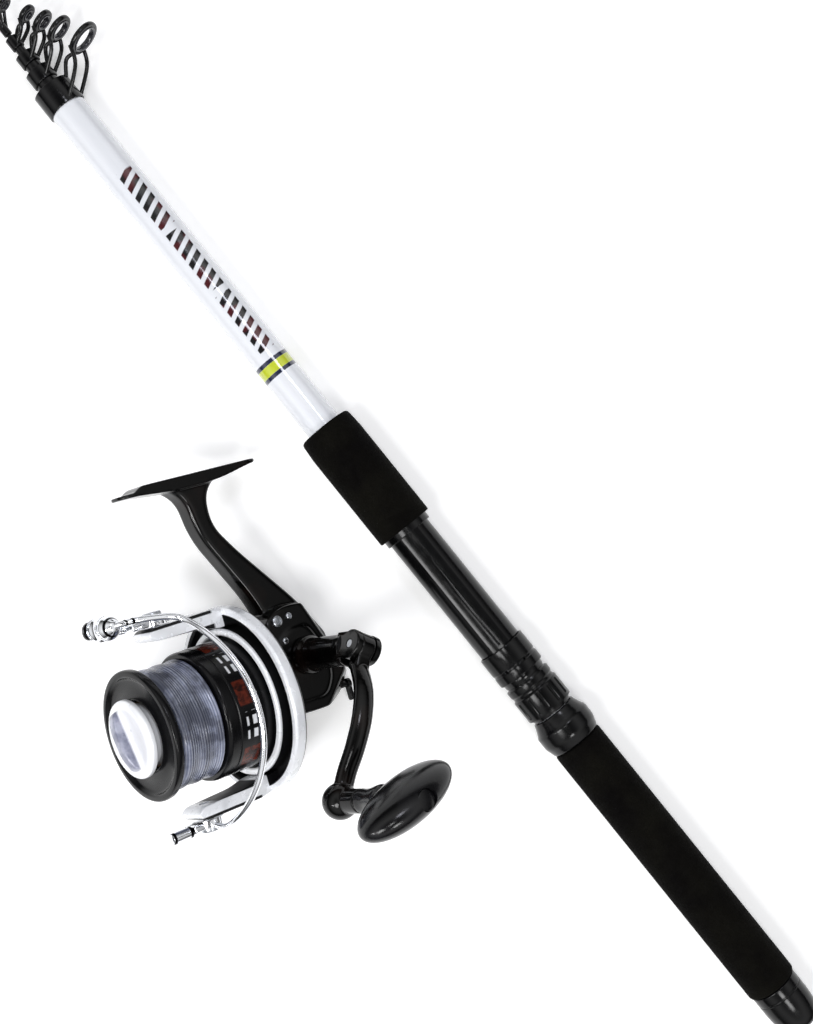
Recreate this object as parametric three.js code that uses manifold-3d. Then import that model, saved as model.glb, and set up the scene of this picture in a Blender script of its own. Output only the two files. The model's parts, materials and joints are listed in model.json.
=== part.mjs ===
// Spinning rod and reel, laid side by side: a five-section telescopic rod and a separate fixed-spool reel.
// Millimetres. +X runs from the butt to the tip of the rod, +Z is up, and everything rests on z = 0.
// The reel is modelled in its own frame (x forward along the spool, y to the handle, z to the foot),
// then settled on the floor by its own hull and turned to its heading.
import * as THREE from "three";
import { mergeVertices } from "three/addons/utils/BufferGeometryUtils.js";
import { ConvexHull } from "three/addons/math/ConvexHull.js";
import Module from "manifold-3d";

// ---- driving sizes: rod ----
const GAP = 0.3; // running clearance between two pieces
const ROD_ROUND = 20; // sides of a turned rod piece
const GRIP_FORE_R = 12.9; // fore grip radius, and the flared ring: the rod lies on both
const GRIP_REAR_R = 11.5; // rear grip radius
const CAP_R = 10.7; // butt cap radius
const SEAT_R = 9.9; // reel seat barrel radius
const HOOD_R = 11.1; // sliding hood and lock nut radius
const BLANK_R = 8.1; // white butt section radius
const BLANK_BORE_R = 7.2; // butt section bore radius
const X_CAP = 22; // where the rear grip starts, from the butt end
const X_PLUG = 14.3; // rear end of the butt section, round the plug of the cap
const REAR_GRIP_LENGTH = 134.5;
const SEAT_RING_LENGTH = 16; // the flared ring between the rear grip and the seat
const NUT_LENGTH = 16;
const HOOD_LENGTH = 14.5;
const SEAT_OPEN = 62.5; // open bed between the hoods, with the sliding hood drawn back
const FIXED_HOOD_LENGTH = 18;
const FORE_GRIP_LENGTH = 55.5;
const BARE_BLANK = 176; // white blank in view between the fore grip and the collar of the first guide
const MOUTH_COLLAR = 11.5; // length of that collar
const X_GRIP_END = X_CAP + REAR_GRIP_LENGTH; // front end of the rear grip
const X_RING_END = X_GRIP_END + SEAT_RING_LENGTH; // front end of the flared seat ring
const X_NUT = X_RING_END + 2; // lock nut, rear face
const X_HOOD = X_NUT + NUT_LENGTH + 3.5; // sliding hood, rear face
const X_SEAT_END = X_HOOD + HOOD_LENGTH + SEAT_OPEN; // rear end of the fixed hood
const X_FORE = X_SEAT_END + 3; // rear end of the fore grip
const X_FORE_END = X_FORE + FORE_GRIP_LENGTH; // front end of the fore grip
const X_MOUTH = X_FORE_END + BARE_BLANK; // rear end of the collar at the mouth of the butt section
const X_BUTT_END = X_MOUTH + MOUTH_COLLAR; // front end of the butt section
const SEAT_FLAT = 8.9; // height of the flat bed along the open seat, above the rod axis
const BED_STEP = 0.2; // how much lower the bed lies under each hood
// Each drawn section: front end, outer radius at base and tip, bore radius at base and tip (0: solid).
const SECTIONS = [
  { name: "section_2", base: X_CAP + 10, tip: X_BUTT_END + 10, r0: 6.9, r1: 5.1, b0: 6.2, b1: 4.4 },
  { name: "section_3", base: X_CAP + 14, tip: X_BUTT_END + 19, r0: 4.1, r1: 3.6, b0: 3.45, b1: 3.0 },
  { name: "section_4", base: X_CAP + 18, tip: X_BUTT_END + 28, r0: 2.7, r1: 2.2, b0: 2.15, b1: 1.7 },
  { name: "section_5", base: X_CAP + 22, tip: X_BUTT_END + 36, r0: 1.4, r1: 1.0, b0: 0, b1: 0 },
];
// Each line guide: front end and length of its collar, collar radii, ring centre above the rod axis,
// ring radius, and how far the ring leans forward of the collar.
const GUIDES = [
  { name: "guide_1", x1: X_BUTT_END, long: MOUTH_COLLAR, bore: BLANK_R, on: 8.8,
    reach: 25.2, ring: 8.2, lean: 7 },
  { name: "guide_2", x1: SECTIONS[0].tip - GAP, long: 6.4, bore: 5.4, on: 5.9,
    reach: 19.4, ring: 6.8, lean: 7.5 },
  { name: "guide_3", x1: SECTIONS[1].tip - GAP, long: 5.5, bore: 3.9, on: 4.4,
    reach: 15.8, ring: 5.6, lean: 6 },
  { name: "guide_4", x1: SECTIONS[2].tip - GAP, long: 5.5, bore: 2.45, on: 2.95,
    reach: 12.4, ring: 4.6, lean: 4 },
];
const GUIDE_WIRE = 0.9; // radius of a guide frame leg
const GUIDE_ROLL = 18; // degrees the guides are turned up from the floor's plane

// ---- driving sizes: reel ----
const SPOOL_R = 27.4; // front lip radius of the spool
const SPOOL_SKIRT_R = 27.4; // skirt radius
const SPOOL_CORE_R = 17.5; // core of the spool under the line
const LINE_R = 25.2; // radius of the wound line
const X_LIP = 79.3; // front face of the spool lip
const X_LINE_FRONT = 74.3;
const X_LINE_REAR = 54.5;
const X_SKIRT_REAR = 28; // rear edge of the skirt with the spool at mid stroke
const SPOOL_STROKE = 3.5; // half travel of the spool along its shaft
const SHAFT_R = 1.7; // main shaft radius
const SKIRT_GAP = 1.2; // between the spool's skirt and the rotor cup
const CUP_BORE_R = SPOOL_SKIRT_R + SKIRT_GAP; // bore of the rotor cup
const ROTOR_CUP_R = CUP_BORE_R + 3.1; // outer radius of the rotor cup
const TROUGH = 4.7; // open trough between the rotor's cup and its outer ring
const RING_DEPTH = 3.9; // thickness of that ring
const ROTOR_RING_R = ROTOR_CUP_R + TROUGH + RING_DEPTH; // outer radius of that ring
const X_ROTOR_BACK = 17.6; // rear face of the rotor
const X_ROTOR_RIM = 33; // front edge of the rotor cup
const ROTOR_WALL = 2.6; // thickness of the rotor's back
const RING_WIDTH = 4.6; // width of the rotor's outer ring
const ARM_Z = ROTOR_RING_R - 0.5; // outer face of each rotor arm, from the spool axis
const X_PIVOT = 59; // bail pivot axis, along the shaft
const BAIL_BOW = 45; // how far the bail wire bows from its pivot axis
const BAIL_WIRE_R = 1.3;
const BAIL_BACK = -9; // how far behind the pivot the middle of the wire lies
const ROLLER_REACH = 23; // pivot to line roller
const ROLLER_Z = ARM_Z + 5.7; // line roller centre above the spool axis
const GEAR_OFFSET = 10; // drive gear axis above the main shaft
const GEAR_MESH = 8; // how far ahead of the gear axis the pinion meets it
const PINION_R = 3.6; // pitch radius of the pinion
const PINION_TEETH = 7;
const GEAR_TEETH = 35;
const FOLD_Y = 52; // hinge of the folding knuckle, from the centre plane
const ARM_PLANE = 58; // centre plane of the crank arm
const CRANK_LENGTH = 63; // handle axis to knob axis
const CRANK_LEAN = 33; // degrees the crank leans forward from straight down
const KNOB_LENGTH = 46; // across the crank's end
const KNOB_HEIGHT = 29; // along the knob's pin
const KNOB_THICKNESS = 16.8;
const FOOT_LENGTH = 70.5;
const X_FOOT_REAR = -9.2; // rear end of the foot
const FOOT_WIDTH = 14;
const FOOT_TOP = 98.2; // top face of the foot, from the spool axis
const REEL_X = 252.5; // where the reel's own origin lies along the rod
const REEL_Y = 77.7; // and beside it
const COVER_Y = -12.9; // outer face of the side cover
const PARTING_Y = -8; // where the side cover meets the housing
const X_RING_BACK = 26.4; // rear edge of the rotor's outer ring, which touches the floor
// The reel's own direction that faces the floor.
const RESTING_DOWN = new THREE.Vector3(-0.629, -0.777, -0.027).normalize();
const REEL_HEADING = 67.8; // degrees from the rod's +X to the spool's forward direction
const LEVER_AT = [-20, 5, -8.5]; // pivot of the anti-reverse lever, low on the back of the body
const LEVER_LENGTH = 7.6; // from its pivot to its tip
const COVER_SCREWS = [[11, 22], [-4, 27.5], [-3.5, -8.4]]; // x and z of each screw in the side cover
const HOUSING_SCREW = [10, 0, 27.5]; // the screw on the handle side of the housing
const HOUSING_Y = 13; // outer face of the housing on the handle side
const GEAR_PHASE = 3.9; // degrees that the drive gear is turned so that it meets the pinion
const CRANK_PHASE = 12.4; // and the crank gear, so that it meets the drive gear
const CRANK_AT = [-10.5, 0, 0.3]; // axis of the crank gear
const RAIL_AT = [0, -0.5, 5.6]; // axis of the crosshead rail
const KNOB_TURN = 140; // degrees the knob is turned on its pin

// ---- helpers ----
const wasm = await Module();
wasm.setup();
const PALETTE = {
  white: [0xf4f4f2, 0.2, 0],
  black: [0x141416, 0.25, 0],
  foam: [0x1b1a17, 0.95, 0],
  rubber: [0x1a1a1a, 0.7, 0],
  silver: [0xd9dbde, 0.25, 1],
  chrome: [0xeaecef, 0.12, 1],
  steel: [0xa9adb2, 0.3, 1],
  brass: [0xc09a4a, 0.3, 1],
  line: [0x7f8cab, 0.5, 0],
  felt: [0x5b4b3a, 0.9, 0],
  ceramic: [0x2a2a2e, 0.2, 0],
};
const rad = THREE.MathUtils.degToRad;
const root = new THREE.Group();
root.name = "rod_and_reel";

function toSolid(geometry) {
  const bare = new THREE.BufferGeometry().setAttribute(
    "position",
    (geometry.index ? geometry.toNonIndexed() : geometry).getAttribute("position"),
  );
  const merged = mergeVertices(bare, 1e-4);
  return new wasm.Manifold(
    new wasm.Mesh({
      numProp: 3,
      vertProperties: merged.attributes.position.array,
      triVerts: new Uint32Array(merged.index.array),
    }),
  );
}

function toGeometry(solid) {
  const mesh = solid.getMesh();
  const points = new Float32Array(mesh.numVert * 3);
  for (let i = 0; i < mesh.numVert; i++)
    points.set(mesh.vertProperties.subarray(i * mesh.numProp, i * mesh.numProp + 3), i * 3);
  const geometry = new THREE.BufferGeometry()
    .setAttribute("position", new THREE.BufferAttribute(points, 3))
    .setIndex(new THREE.BufferAttribute(new Uint32Array(mesh.triVerts), 1));
  const flat = geometry.toNonIndexed();
  flat.computeVertexNormals();
  return flat;
}

const join = (...pieces) => toGeometry(pieces.map(toSolid).reduce((a, b) => a.add(b)));
const cut = (piece, ...tools) =>
  toGeometry(tools.map(toSolid).reduce((a, b) => a.subtract(b), toSolid(piece)));

// A turned piece about the axis named: [radius, height] pairs from axis to axis, or round a closed ring.
function turned(profile, axis = "x", sides = ROD_ROUND, at = [0, 0, 0]) {
  const g = new THREE.LatheGeometry(profile.map(([r, h]) => new THREE.Vector2(r, h)), sides);
  if (axis === "x") g.rotateZ(-Math.PI / 2);
  if (axis === "z") g.rotateX(Math.PI / 2);
  g.translate(...at);
  return faceOut(g);
}

// Turns a closed mesh so that its faces point outwards.
function faceOut(g) {
  const flat = g.index ? g.toNonIndexed() : g;
  const p = flat.attributes.position;
  const a = new THREE.Vector3(), b = new THREE.Vector3(), c = new THREE.Vector3();
  let volume = 0;
  for (let i = 0; i < p.count; i += 3) {
    a.fromBufferAttribute(p, i);
    b.fromBufferAttribute(p, i + 1);
    c.fromBufferAttribute(p, i + 2);
    volume += a.dot(b.cross(c));
  }
  if (volume < 0)
    for (let i = 0; i < p.count; i += 3)
      for (const get of ["getX", "getY", "getZ"]) {
        const set = get.replace("get", "set");
        const held = p[get](i);
        p[set](i, p[get](i + 1));
        p[set](i + 1, held);
      }
  flat.computeVertexNormals();
  return flat;
}

// A hollow turned piece between two stations on x: outer [x, r] points forward, inner [x, r] points.
const sleeve = (outer, inner, sides = ROD_ROUND) => {
  const ring = [...outer.map(([x, r]) => [r, x]), ...inner.slice().reverse().map(([x, r]) => [r, x])];
  return turned([...ring, ring[0]], "x", sides);
};
const rodOn = (axis, r, from, to, centre = [0, 0, 0], sides = 20) =>
  turned([[0, from], [r, from], [r, to], [0, to]], axis, sides, centre);
const block = (x, y, z, at) => new THREE.BoxGeometry(x, y, z).toNonIndexed().translate(...at);

// A smooth closed outline with rounded corners: [a, b, corner radius] points.
function outline(points) {
  const shape = new THREE.Shape();
  const n = points.length;
  points.forEach(([x, y, r = 0], i) => {
    const [px, py] = points[(i + n - 1) % n], [nx, ny] = points[(i + 1) % n];
    const p = new THREE.Vector2(x, y);
    const from = new THREE.Vector2(px, py).sub(p), to = new THREE.Vector2(nx, ny).sub(p);
    const reach = Math.min(r, from.length() * 0.48, to.length() * 0.48);
    const a = p.clone().add(from.setLength(reach)), b = p.clone().add(to.setLength(reach));
    if (i) shape.lineTo(a.x, a.y);
    else shape.moveTo(a.x, a.y);
    if (reach > 0) shape.quadraticCurveTo(x, y, b.x, b.y);
  });
  shape.closePath();
  return shape;
}

// An outline in (x, z) made into a plate between two y planes, its edges bevelled.
function plate(points, y0, y1, bevel = 0, curve = 3) {
  const g = new THREE.ExtrudeGeometry(outline(points), {
    depth: Math.abs(y1 - y0) - 2 * bevel,
    bevelEnabled: bevel > 0,
    bevelSize: bevel,
    bevelThickness: bevel,
    bevelOffset: -bevel,
    bevelSegments: 1,
    curveSegments: curve,
  });
  g.translate(0, 0, bevel);
  g.rotateX(Math.PI / 2); // outline y becomes z, depth runs to -y
  g.translate(0, Math.max(y0, y1), 0);
  return faceOut(g);
}

// A wire through the given points: round, or oval when its second radius is given.
function wire(points, r, sides = 8, steps = 24, across = r) {
  const path = new THREE.CatmullRomCurve3(points.map((p) => new THREE.Vector3(...p)));
  const ring = new THREE.Shape();
  for (let i = 0; i < sides; i++) {
    const a = (2 * Math.PI * i) / sides;
    if (i) ring.lineTo(r * Math.cos(a), across * Math.sin(a));
    else ring.moveTo(r, 0);
  }
  return faceOut(new THREE.ExtrudeGeometry(ring, { steps, extrudePath: path, bevelEnabled: false }));
}

function add(group, name, geometry, finish) {
  const [color, roughness, metalness] = PALETTE[finish];
  const mesh = new THREE.Mesh(geometry, new THREE.MeshStandardMaterial({ color, roughness, metalness }));
  mesh.name = name;
  group.add(mesh);
  return mesh;
}

// ---- rod ----
// A turned line guide: collar, two side legs, a front brace and a leaning ring, pointing to local +z.
function guideFrame({ x1, long, bore, on, reach, ring, lean }) {
  const x0 = x1 - long, xr = x1 - 1.5 + lean, hold = ring - 1.7;
  const hoop = turned(
    [[hold, -1.1], [ring - 0.5, -1.1], [ring, 0], [ring - 0.5, 1.1], [hold, 1.1], [hold, -1.1]],
    "x", 16,
  );
  hoop.rotateY(rad(14)).translate(xr, 0, reach);
  const side = ring * 0.78, foot = on * 0.62;
  const leg = (s) =>
    wire([[x0 + 1.6, s * foot, foot], [x0 + (xr - x0) * 0.55, s * side * 0.9, on + (reach - on) * 0.5],
      [xr - 0.4, s * side, reach - ring * 0.55]], GUIDE_WIRE, 5, 2);
  const brace = wire([[x1 - 1, 0, on - 0.3], [xr - 1.4, 0, (on + reach - ring) / 2 + 0.4],
    [xr - 1.6, 0, reach - ring + 0.7]], GUIDE_WIRE, 5, 1);
  const sides = bore > 6 ? ROD_ROUND : 12;
  const collar = sleeve([[x0, on], [x1, on]], [[x0, bore], [x1, bore]], sides);
  const tube = rodOn("x", bore, x0 - 20, x1 + 20, [0, 0, 0], sides);
  return cut(join(collar, hoop, leg(1), leg(-1), brace), tube);
}

function guideInsert({ x1, reach, ring, lean }) {
  const out = ring - 2, hole = ring - 3.3;
  return turned(
    [[hole, 0], [hole + 0.7, -1.4], [out, -1.4], [out, 1.4], [hole + 0.7, 1.4], [hole, 0]],
    "x", 14,
  ).rotateY(rad(14)).translate(x1 - 1.5 + lean, 0, reach);
}

function buildRod() {
  const rod = new THREE.Group();
  rod.name = "rod";
  rod.position.z = GRIP_FORE_R;
  add(rod, "butt_cap", turned([[0, 0], [5.5, 0.3], [8.6, 1.6], [10.2, 4], [CAP_R, 8], [CAP_R, X_CAP - GAP],
    [BLANK_R + GAP, X_CAP - GAP], [BLANK_R + GAP, X_PLUG - GAP], [BLANK_BORE_R - GAP, X_PLUG - GAP],
    [BLANK_BORE_R - GAP, X_CAP + 5], [0, X_CAP + 5]]), "black");
  const grip = (x0, x1, r, bore) => sleeve(
    [[x0, r - 1.2], [x0 + 1.2, r], [x1 - 1.2, r], [x1, r - 1.2]], [[x0, bore], [x1, bore]]);
  add(rod, "rear_grip", grip(X_CAP, X_GRIP_END - GAP, GRIP_REAR_R, BLANK_R + GAP), "foam");
  add(rod, "butt_section", sleeve(
    [[X_PLUG, BLANK_R], [X_MOUTH - GAP, BLANK_R], [X_MOUTH - GAP, BLANK_R - GAP],
      [X_BUTT_END, BLANK_R - GAP]],
    [[X_PLUG, BLANK_BORE_R], [X_BUTT_END, BLANK_BORE_R]]), "white");
  add(rod, "seat_ring", sleeve(
    [[X_GRIP_END, 10.9], [X_GRIP_END + 3, GRIP_FORE_R - 0.7], [X_GRIP_END + 5, GRIP_FORE_R],
      [X_RING_END - 6, GRIP_FORE_R], [X_RING_END - 1, HOOD_R - 0.6], [X_RING_END, HOOD_R - 0.9]],
    [[X_GRIP_END, BLANK_R + GAP], [X_RING_END, BLANK_R + GAP]]), "black");
  // The barrel carries a flat bed on top, a step lower under each hood.
  const barrel = sleeve(
    [[X_RING_END + GAP, SEAT_R], [X_SEAT_END + FIXED_HOOD_LENGTH, SEAT_R]],
    [[X_RING_END + GAP, BLANK_R + GAP], [X_SEAT_END + FIXED_HOOD_LENGTH, BLANK_R + GAP]]);
  const bed = (x0, x1, z) => block(x1 - x0, 24, 6, [(x0 + x1) / 2, 0, z + 3]);
  const bedRear = X_HOOD - 0.5, bedFront = X_SEAT_END + FIXED_HOOD_LENGTH - 0.5;
  add(rod, "seat_barrel", cut(barrel, bed(bedRear, bedFront, SEAT_FLAT),
    bed(bedRear, X_HOOD + HOOD_LENGTH + 0.5, SEAT_FLAT - BED_STEP),
    bed(X_SEAT_END - 0.5, bedFront, SEAT_FLAT - BED_STEP)), "black");
  // The pocket in each hood that takes an end of the reel foot.
  const pocket = (x0, x1, top) => {
    const w = Math.sqrt(SEAT_R * SEAT_R - SEAT_FLAT * SEAT_FLAT) + 1.6;
    const g = new THREE.ExtrudeGeometry(outline([[-w, SEAT_FLAT], [w, SEAT_FLAT], [w * 0.8, top - 0.8],
      [w * 0.35, top], [-w * 0.35, top], [-w * 0.8, top - 0.8]]), { depth: x1 - x0, bevelEnabled: false });
    return faceOut(g.rotateY(Math.PI / 2).rotateX(Math.PI / 2).translate(x0, 0, 0));
  };
  const hood = sleeve(
    [[X_HOOD, HOOD_R - 0.8], [X_HOOD + 1, HOOD_R], [X_HOOD + HOOD_LENGTH - 1.5, HOOD_R],
      [X_HOOD + HOOD_LENGTH, HOOD_R - 0.5]],
    [[X_HOOD, SEAT_R + GAP], [X_HOOD + HOOD_LENGTH, SEAT_R + GAP]]);
  add(rod, "sliding_hood", cut(hood, pocket(X_HOOD + 3, X_HOOD + HOOD_LENGTH + 5, HOOD_R - 0.6)), "black");
  const nut = sleeve(
    [[X_NUT, HOOD_R - 0.6], [X_NUT + 0.8, HOOD_R], [X_NUT + 10.5, HOOD_R], [X_NUT + 11.2, HOOD_R - 0.8],
      [X_NUT + 12.4, HOOD_R - 0.8], [X_NUT + 13, HOOD_R - 0.3], [X_NUT + NUT_LENGTH, HOOD_R - 0.5]],
    [[X_NUT, SEAT_R + GAP], [X_NUT + NUT_LENGTH, SEAT_R + GAP]]);
  const flutes = [];
  for (let i = 0; i < 12; i++) {
    const a = (i * Math.PI) / 6;
    flutes.push(rodOn("x", 1.1, X_NUT + 1.6, X_NUT + 9.8,
      [0, (HOOD_R + 0.35) * Math.cos(a), (HOOD_R + 0.35) * Math.sin(a)], 5));
  }
  add(rod, "lock_nut", cut(nut, ...flutes), "black");
  const x1 = X_SEAT_END + FIXED_HOOD_LENGTH;
  const fixed = sleeve([[X_SEAT_END, HOOD_R - 0.5], [X_SEAT_END + 1, HOOD_R], [x1, HOOD_R]],
    [[X_SEAT_END, SEAT_R + GAP], [x1, SEAT_R + GAP]]);
  add(rod, "fixed_hood", cut(fixed, pocket(X_SEAT_END - 5, x1 - 2, HOOD_R - 0.6)), "black");
  const fore = sleeve(
    [[X_FORE, GRIP_FORE_R - 1.5], [X_FORE + 1.5, GRIP_FORE_R], [X_FORE_END - 2, GRIP_FORE_R - 0.2],
      [X_FORE_END, GRIP_FORE_R - 2]],
    [[X_FORE, HOOD_R + GAP], [x1 + GAP, HOOD_R + GAP], [x1 + GAP, BLANK_R + GAP], [X_FORE_END, BLANK_R + GAP]]);
  add(rod, "fore_grip", fore, "foam");
  for (const s of SECTIONS)
    add(rod, s.name, s.b0
      ? sleeve([[s.base, s.r0], [s.tip, s.r1]], [[s.base, s.b0], [s.tip, s.b1]])
      : turned([[0, s.base], [s.r0, s.base], [s.r1, s.tip], [0, s.tip]], "x", 16), "black");
  const turn = Math.PI / 2 - rad(GUIDE_ROLL); // guides point to -y, a little up from the floor
  for (const g of GUIDES) {
    add(rod, g.name, guideFrame(g).rotateX(turn), "black");
    add(rod, g.name + "_ring", guideInsert(g).rotateX(turn), "ceramic");
  }
  // The tip top: a closed tube over the last section, with its own ring.
  const last = SECTIONS[3].tip;
  const tube = turned([[0, last + 1.6], [1.5, last + 1.2], [1.9, last + 0.3], [1.9, last - 6.5],
    [1.3, last - 6.5], [1.3, last + GAP], [0, last + GAP]], "x", 14);
  const hoop = turned([[2.5, -0.9], [3.7, -0.9], [4, 0], [3.7, 0.9], [2.5, 0.9], [2.5, -0.9]], "x", 12)
    .rotateY(rad(14)).translate(last + 4.2, 0, 6.9);
  const prong = (s) =>
    wire([[last - 3, s * 1.4, 0.8], [last + 1.5, s * 2.4, 3.2], [last + 4, s * 2.7, 5]], 0.75, 4, 2);
  const stay = wire([[last, 0, 1.6], [last + 3.2, 0, 3.4]], 0.75, 4, 1);
  const hollow = rodOn("x", 1.3, last - 30, last + GAP, [0, 0, 0], 14);
  add(rod, "tip_top", cut(join(tube, hoop, prong(1), prong(-1), stay), hollow).rotateX(turn), "black");
  add(rod, "tip_top_ring", turned([[1.6, 0], [1.9, -1.1], [2.2, -1.1], [2.2, 1.1], [1.9, 1.1], [1.6, 0]],
    "x", 14).rotateY(rad(14)).translate(last + 4.2, 0, 6.9).rotateX(turn), "ceramic");
  return rod;
}

// ---- reel ----
const common = (a, b) => toGeometry(toSolid(a).intersect(toSolid(b)));

// A gear outline of plain tapered teeth, as [a, b] points about the origin.
function gearPoints(teeth, pitchR, tip, rootDepth, share) {
  const points = [];
  for (let i = 0; i < teeth; i++) {
    const step = (2 * Math.PI) / teeth, a = i * step;
    const wide = step * share, narrow = wide * 0.55;
    for (const [t, r] of [[-wide / 2 - step * 0.04, pitchR - rootDepth], [-narrow / 2, pitchR + tip],
      [narrow / 2, pitchR + tip], [wide / 2 + step * 0.04, pitchR - rootDepth]])
      points.push([r * Math.cos(a + t), r * Math.sin(a + t)]);
  }
  return points;
}

// The pinion's toothed length: the gear outline drawn along x and twisted into a helix.
function helix(points, x0, x1, twist, slices) {
  const g = new THREE.ExtrudeGeometry(outline(points), { depth: x1 - x0, steps: slices, bevelEnabled: false });
  const flat = g.index ? g.toNonIndexed() : g;
  const at = flat.attributes.position;
  for (let i = 0; i < at.count; i++) {
    const a = (twist * at.getZ(i)) / (x1 - x0) - twist / 2;
    const u = at.getX(i), v = at.getY(i);
    at.setXY(i, u * Math.cos(a) - v * Math.sin(a), u * Math.sin(a) + v * Math.cos(a));
  }
  return faceOut(flat.rotateY(Math.PI / 2).translate(x0, 0, 0));
}

// The reel lies on its rotor ring and on a flat planed across the back of the body: this cuts that flat.
function restingPlane() {
  const n = RESTING_DOWN;
  const height = ROTOR_RING_R * Math.hypot(n.y, n.z) + n.x * X_RING_BACK;
  const slab = block(240, 240, 60, [0, 0, -30 - height]);
  return slab.applyQuaternion(new THREE.Quaternion().setFromUnitVectors(new THREE.Vector3(0, 0, -1), n));
}

function buildBody(reel) {
  const bodyLine = [[16.2, -13, 5], [16.2, 29, 8], [6, 33, 4], [-9, 32, 7], [-18.5, 19, 5], [-23, 4, 6],
    [-20.5, -11, 6], [-6, -14, 5]];
  const shell = plate(bodyLine, PARTING_Y, HOUSING_Y, 2.2, 2);
  const flat = restingPlane();
  const under = FOOT_TOP - 4;
  const stem = plate([[9, 26], [15.6, 38.3, 16], [33.6, 69, 16], [36, 87, 6], [44, under], [13, under],
    [21.3, 87, 6], [22.3, 74, 14], [14, 61.5, 20], [-10, 31.6, 16], [-20.5, 13, 8], [-12, 6]],
  -5.6, 5.6, 1.8, 2);
  const front = X_FOOT_REAR + FOOT_LENGTH;
  const footSide = plate([[X_FOOT_REAR, FOOT_TOP], [front - 10, FOOT_TOP, 2], [front - 6.5, FOOT_TOP - 3.4, 1],
    [front, FOOT_TOP - 3.4], [front, FOOT_TOP - 5.2], [front - 9, FOOT_TOP - 5.4], [front - 24, FOOT_TOP - 7],
    [X_FOOT_REAR + 19, FOOT_TOP - 7], [X_FOOT_REAR + 12, FOOT_TOP - 3.6], [X_FOOT_REAR, FOOT_TOP - 2.4]],
  -FOOT_WIDTH, FOOT_WIDTH);
  const w = FOOT_WIDTH / 2;
  const footPlan = new THREE.ExtrudeGeometry(
    outline([[X_FOOT_REAR, -w, 6], [front, -w, 6], [front, w, 6], [X_FOOT_REAR, w, 6]]),
    { depth: 40, bevelEnabled: false, curveSegments: 3 });
  const foot = common(footSide, faceOut(footPlan.translate(0, 0, FOOT_TOP - 20)));
  const boss = rodOn("y", 8.6, 10, 13.9, [0, 0, GEAR_OFFSET]);
  const collar = rodOn("x", 9.5, 10, 17, [0, 0, 0]);
  // Room for the gears, opened at the cover side, and for the crosshead behind them.
  const gearRoom = rodOn("y", 15, -30, 9.4, [0, 0, GEAR_OFFSET], 28);
  const slideRoom = plate(
    [[-18, -4.4, 1], [9, -6.5, 2], [9, 14, 2], [-8, 14, 2], [-8, 8.6], [-18, 8.6, 1]], -3.3, 9.4, 0, 1);
  const bearingR = rodOn("y", 6.8, 9, 12.6, [0, 0, GEAR_OFFSET], 20);
  const shaftHole = rodOn("y", 3.8, 12, 20, [0, 0, GEAR_OFFSET], 20);
  const crankRoom = rodOn("y", 10.1, 3.2, 9.4, CRANK_AT, 24);
  const axleHole = rodOn("y", 2.1, 9, 11.8, CRANK_AT, 12);
  const railHole = rodOn("x", 1.3, -20.3, -17, RAIL_AT, 12);
  const pinionSeat = rodOn("x", 5.3, 8, 15.4, [0, 0, 0], 20);
  const pinionHole = rodOn("x", 3.5, 15, 20, [0, 0, 0], 20);
  const screws = COVER_SCREWS.map(([x, z]) => rodOn("y", 1.5, -30, -3, [x, 0, z], 10));
  const leverHole = rodOn("x", 1.6, -30, LEVER_AT[0] + 4, [0, LEVER_AT[1], LEVER_AT[2]], 12);
  const screwHole = rodOn("y", 1.5, 7.6, 30, HOUSING_SCREW, 10);
  add(reel, "gear_housing", cut(join(shell, boss, collar, stem, foot), flat,
    gearRoom, slideRoom, crankRoom, axleHole, railHole, bearingR, shaftHole, pinionSeat, pinionHole, leverHole,
    screwHole, ...screws), "black");
  // The anti-reverse lever: a pin through the back wall with a tab that swings towards the handle side.
  const [lx, ly, lz] = LEVER_AT;
  const tab = block(1.8, 2.8, LEVER_LENGTH, [lx - 2.4, ly, lz - LEVER_LENGTH / 2]);
  add(reel, "anti_reverse_lever", join(rodOn("x", 1.3, lx - 2, lx + 3.5, [0, ly, lz], 12),
    rodOn("x", 2.2, lx - 3.3, lx - 1.5, [0, ly, lz], 12), tab), "black");
  add(reel, "housing_screw", turned([[0, 8], [1.2, 8], [1.2, HOUSING_Y + GAP / 2], [2.4, HOUSING_Y + GAP / 2],
    [2.4, HOUSING_Y + 0.7], [1.8, HOUSING_Y + 1.2], [0, HOUSING_Y + 1.2]], "y", 12, HOUSING_SCREW), "steel");
  const coverLine = [[16.2, -13, 6], [16.2, 27, 9], [8, 33, 6], [-9, 31, 6], [-15, 20, 3], [-15, -6, 3],
    [-8, -13.6, 5]];
  const seat = rodOn("y", 6.8, -12.1, -6, [0, 0, GEAR_OFFSET], 20);
  const bore = rodOn("y", 3.8, -30, -11, [0, 0, GEAR_OFFSET], 20);
  const cover = plate(coverLine, COVER_Y, PARTING_Y - GAP, 1, 2);
  const holes = COVER_SCREWS.map(([x, z]) => rodOn("y", 1.5, -30, 0, [x, 0, z], 10));
  const noseRoom = rodOn("x", 9.5 + GAP, 5, 30, [0, 0, 0]);
  add(reel, "side_cover", cut(cover, flat, noseRoom, seat, bore, ...holes), "black");
  COVER_SCREWS.forEach(([x, z], i) =>
    add(reel, `cover_screw_${i + 1}`, turned([[0, COVER_Y - 0.9], [1.8, COVER_Y - 0.9], [2.3, COVER_Y - 0.4],
      [2.3, COVER_Y - GAP / 2], [1.2, COVER_Y - GAP / 2], [1.2, -5], [0, -5]], "y", 10, [x, 0, z]), "steel"));
  add(reel, "shaft_cap", turned([[0, COVER_Y - 1.1], [4.6, COVER_Y - 1.1], [5.4, COVER_Y - 0.6],
    [5.4, COVER_Y - GAP / 2], [3.5, COVER_Y - GAP / 2], [3.5, -12.4], [0, -12.4]], "y", 20,
    [0, 0, GEAR_OFFSET]), "black");
}

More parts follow.
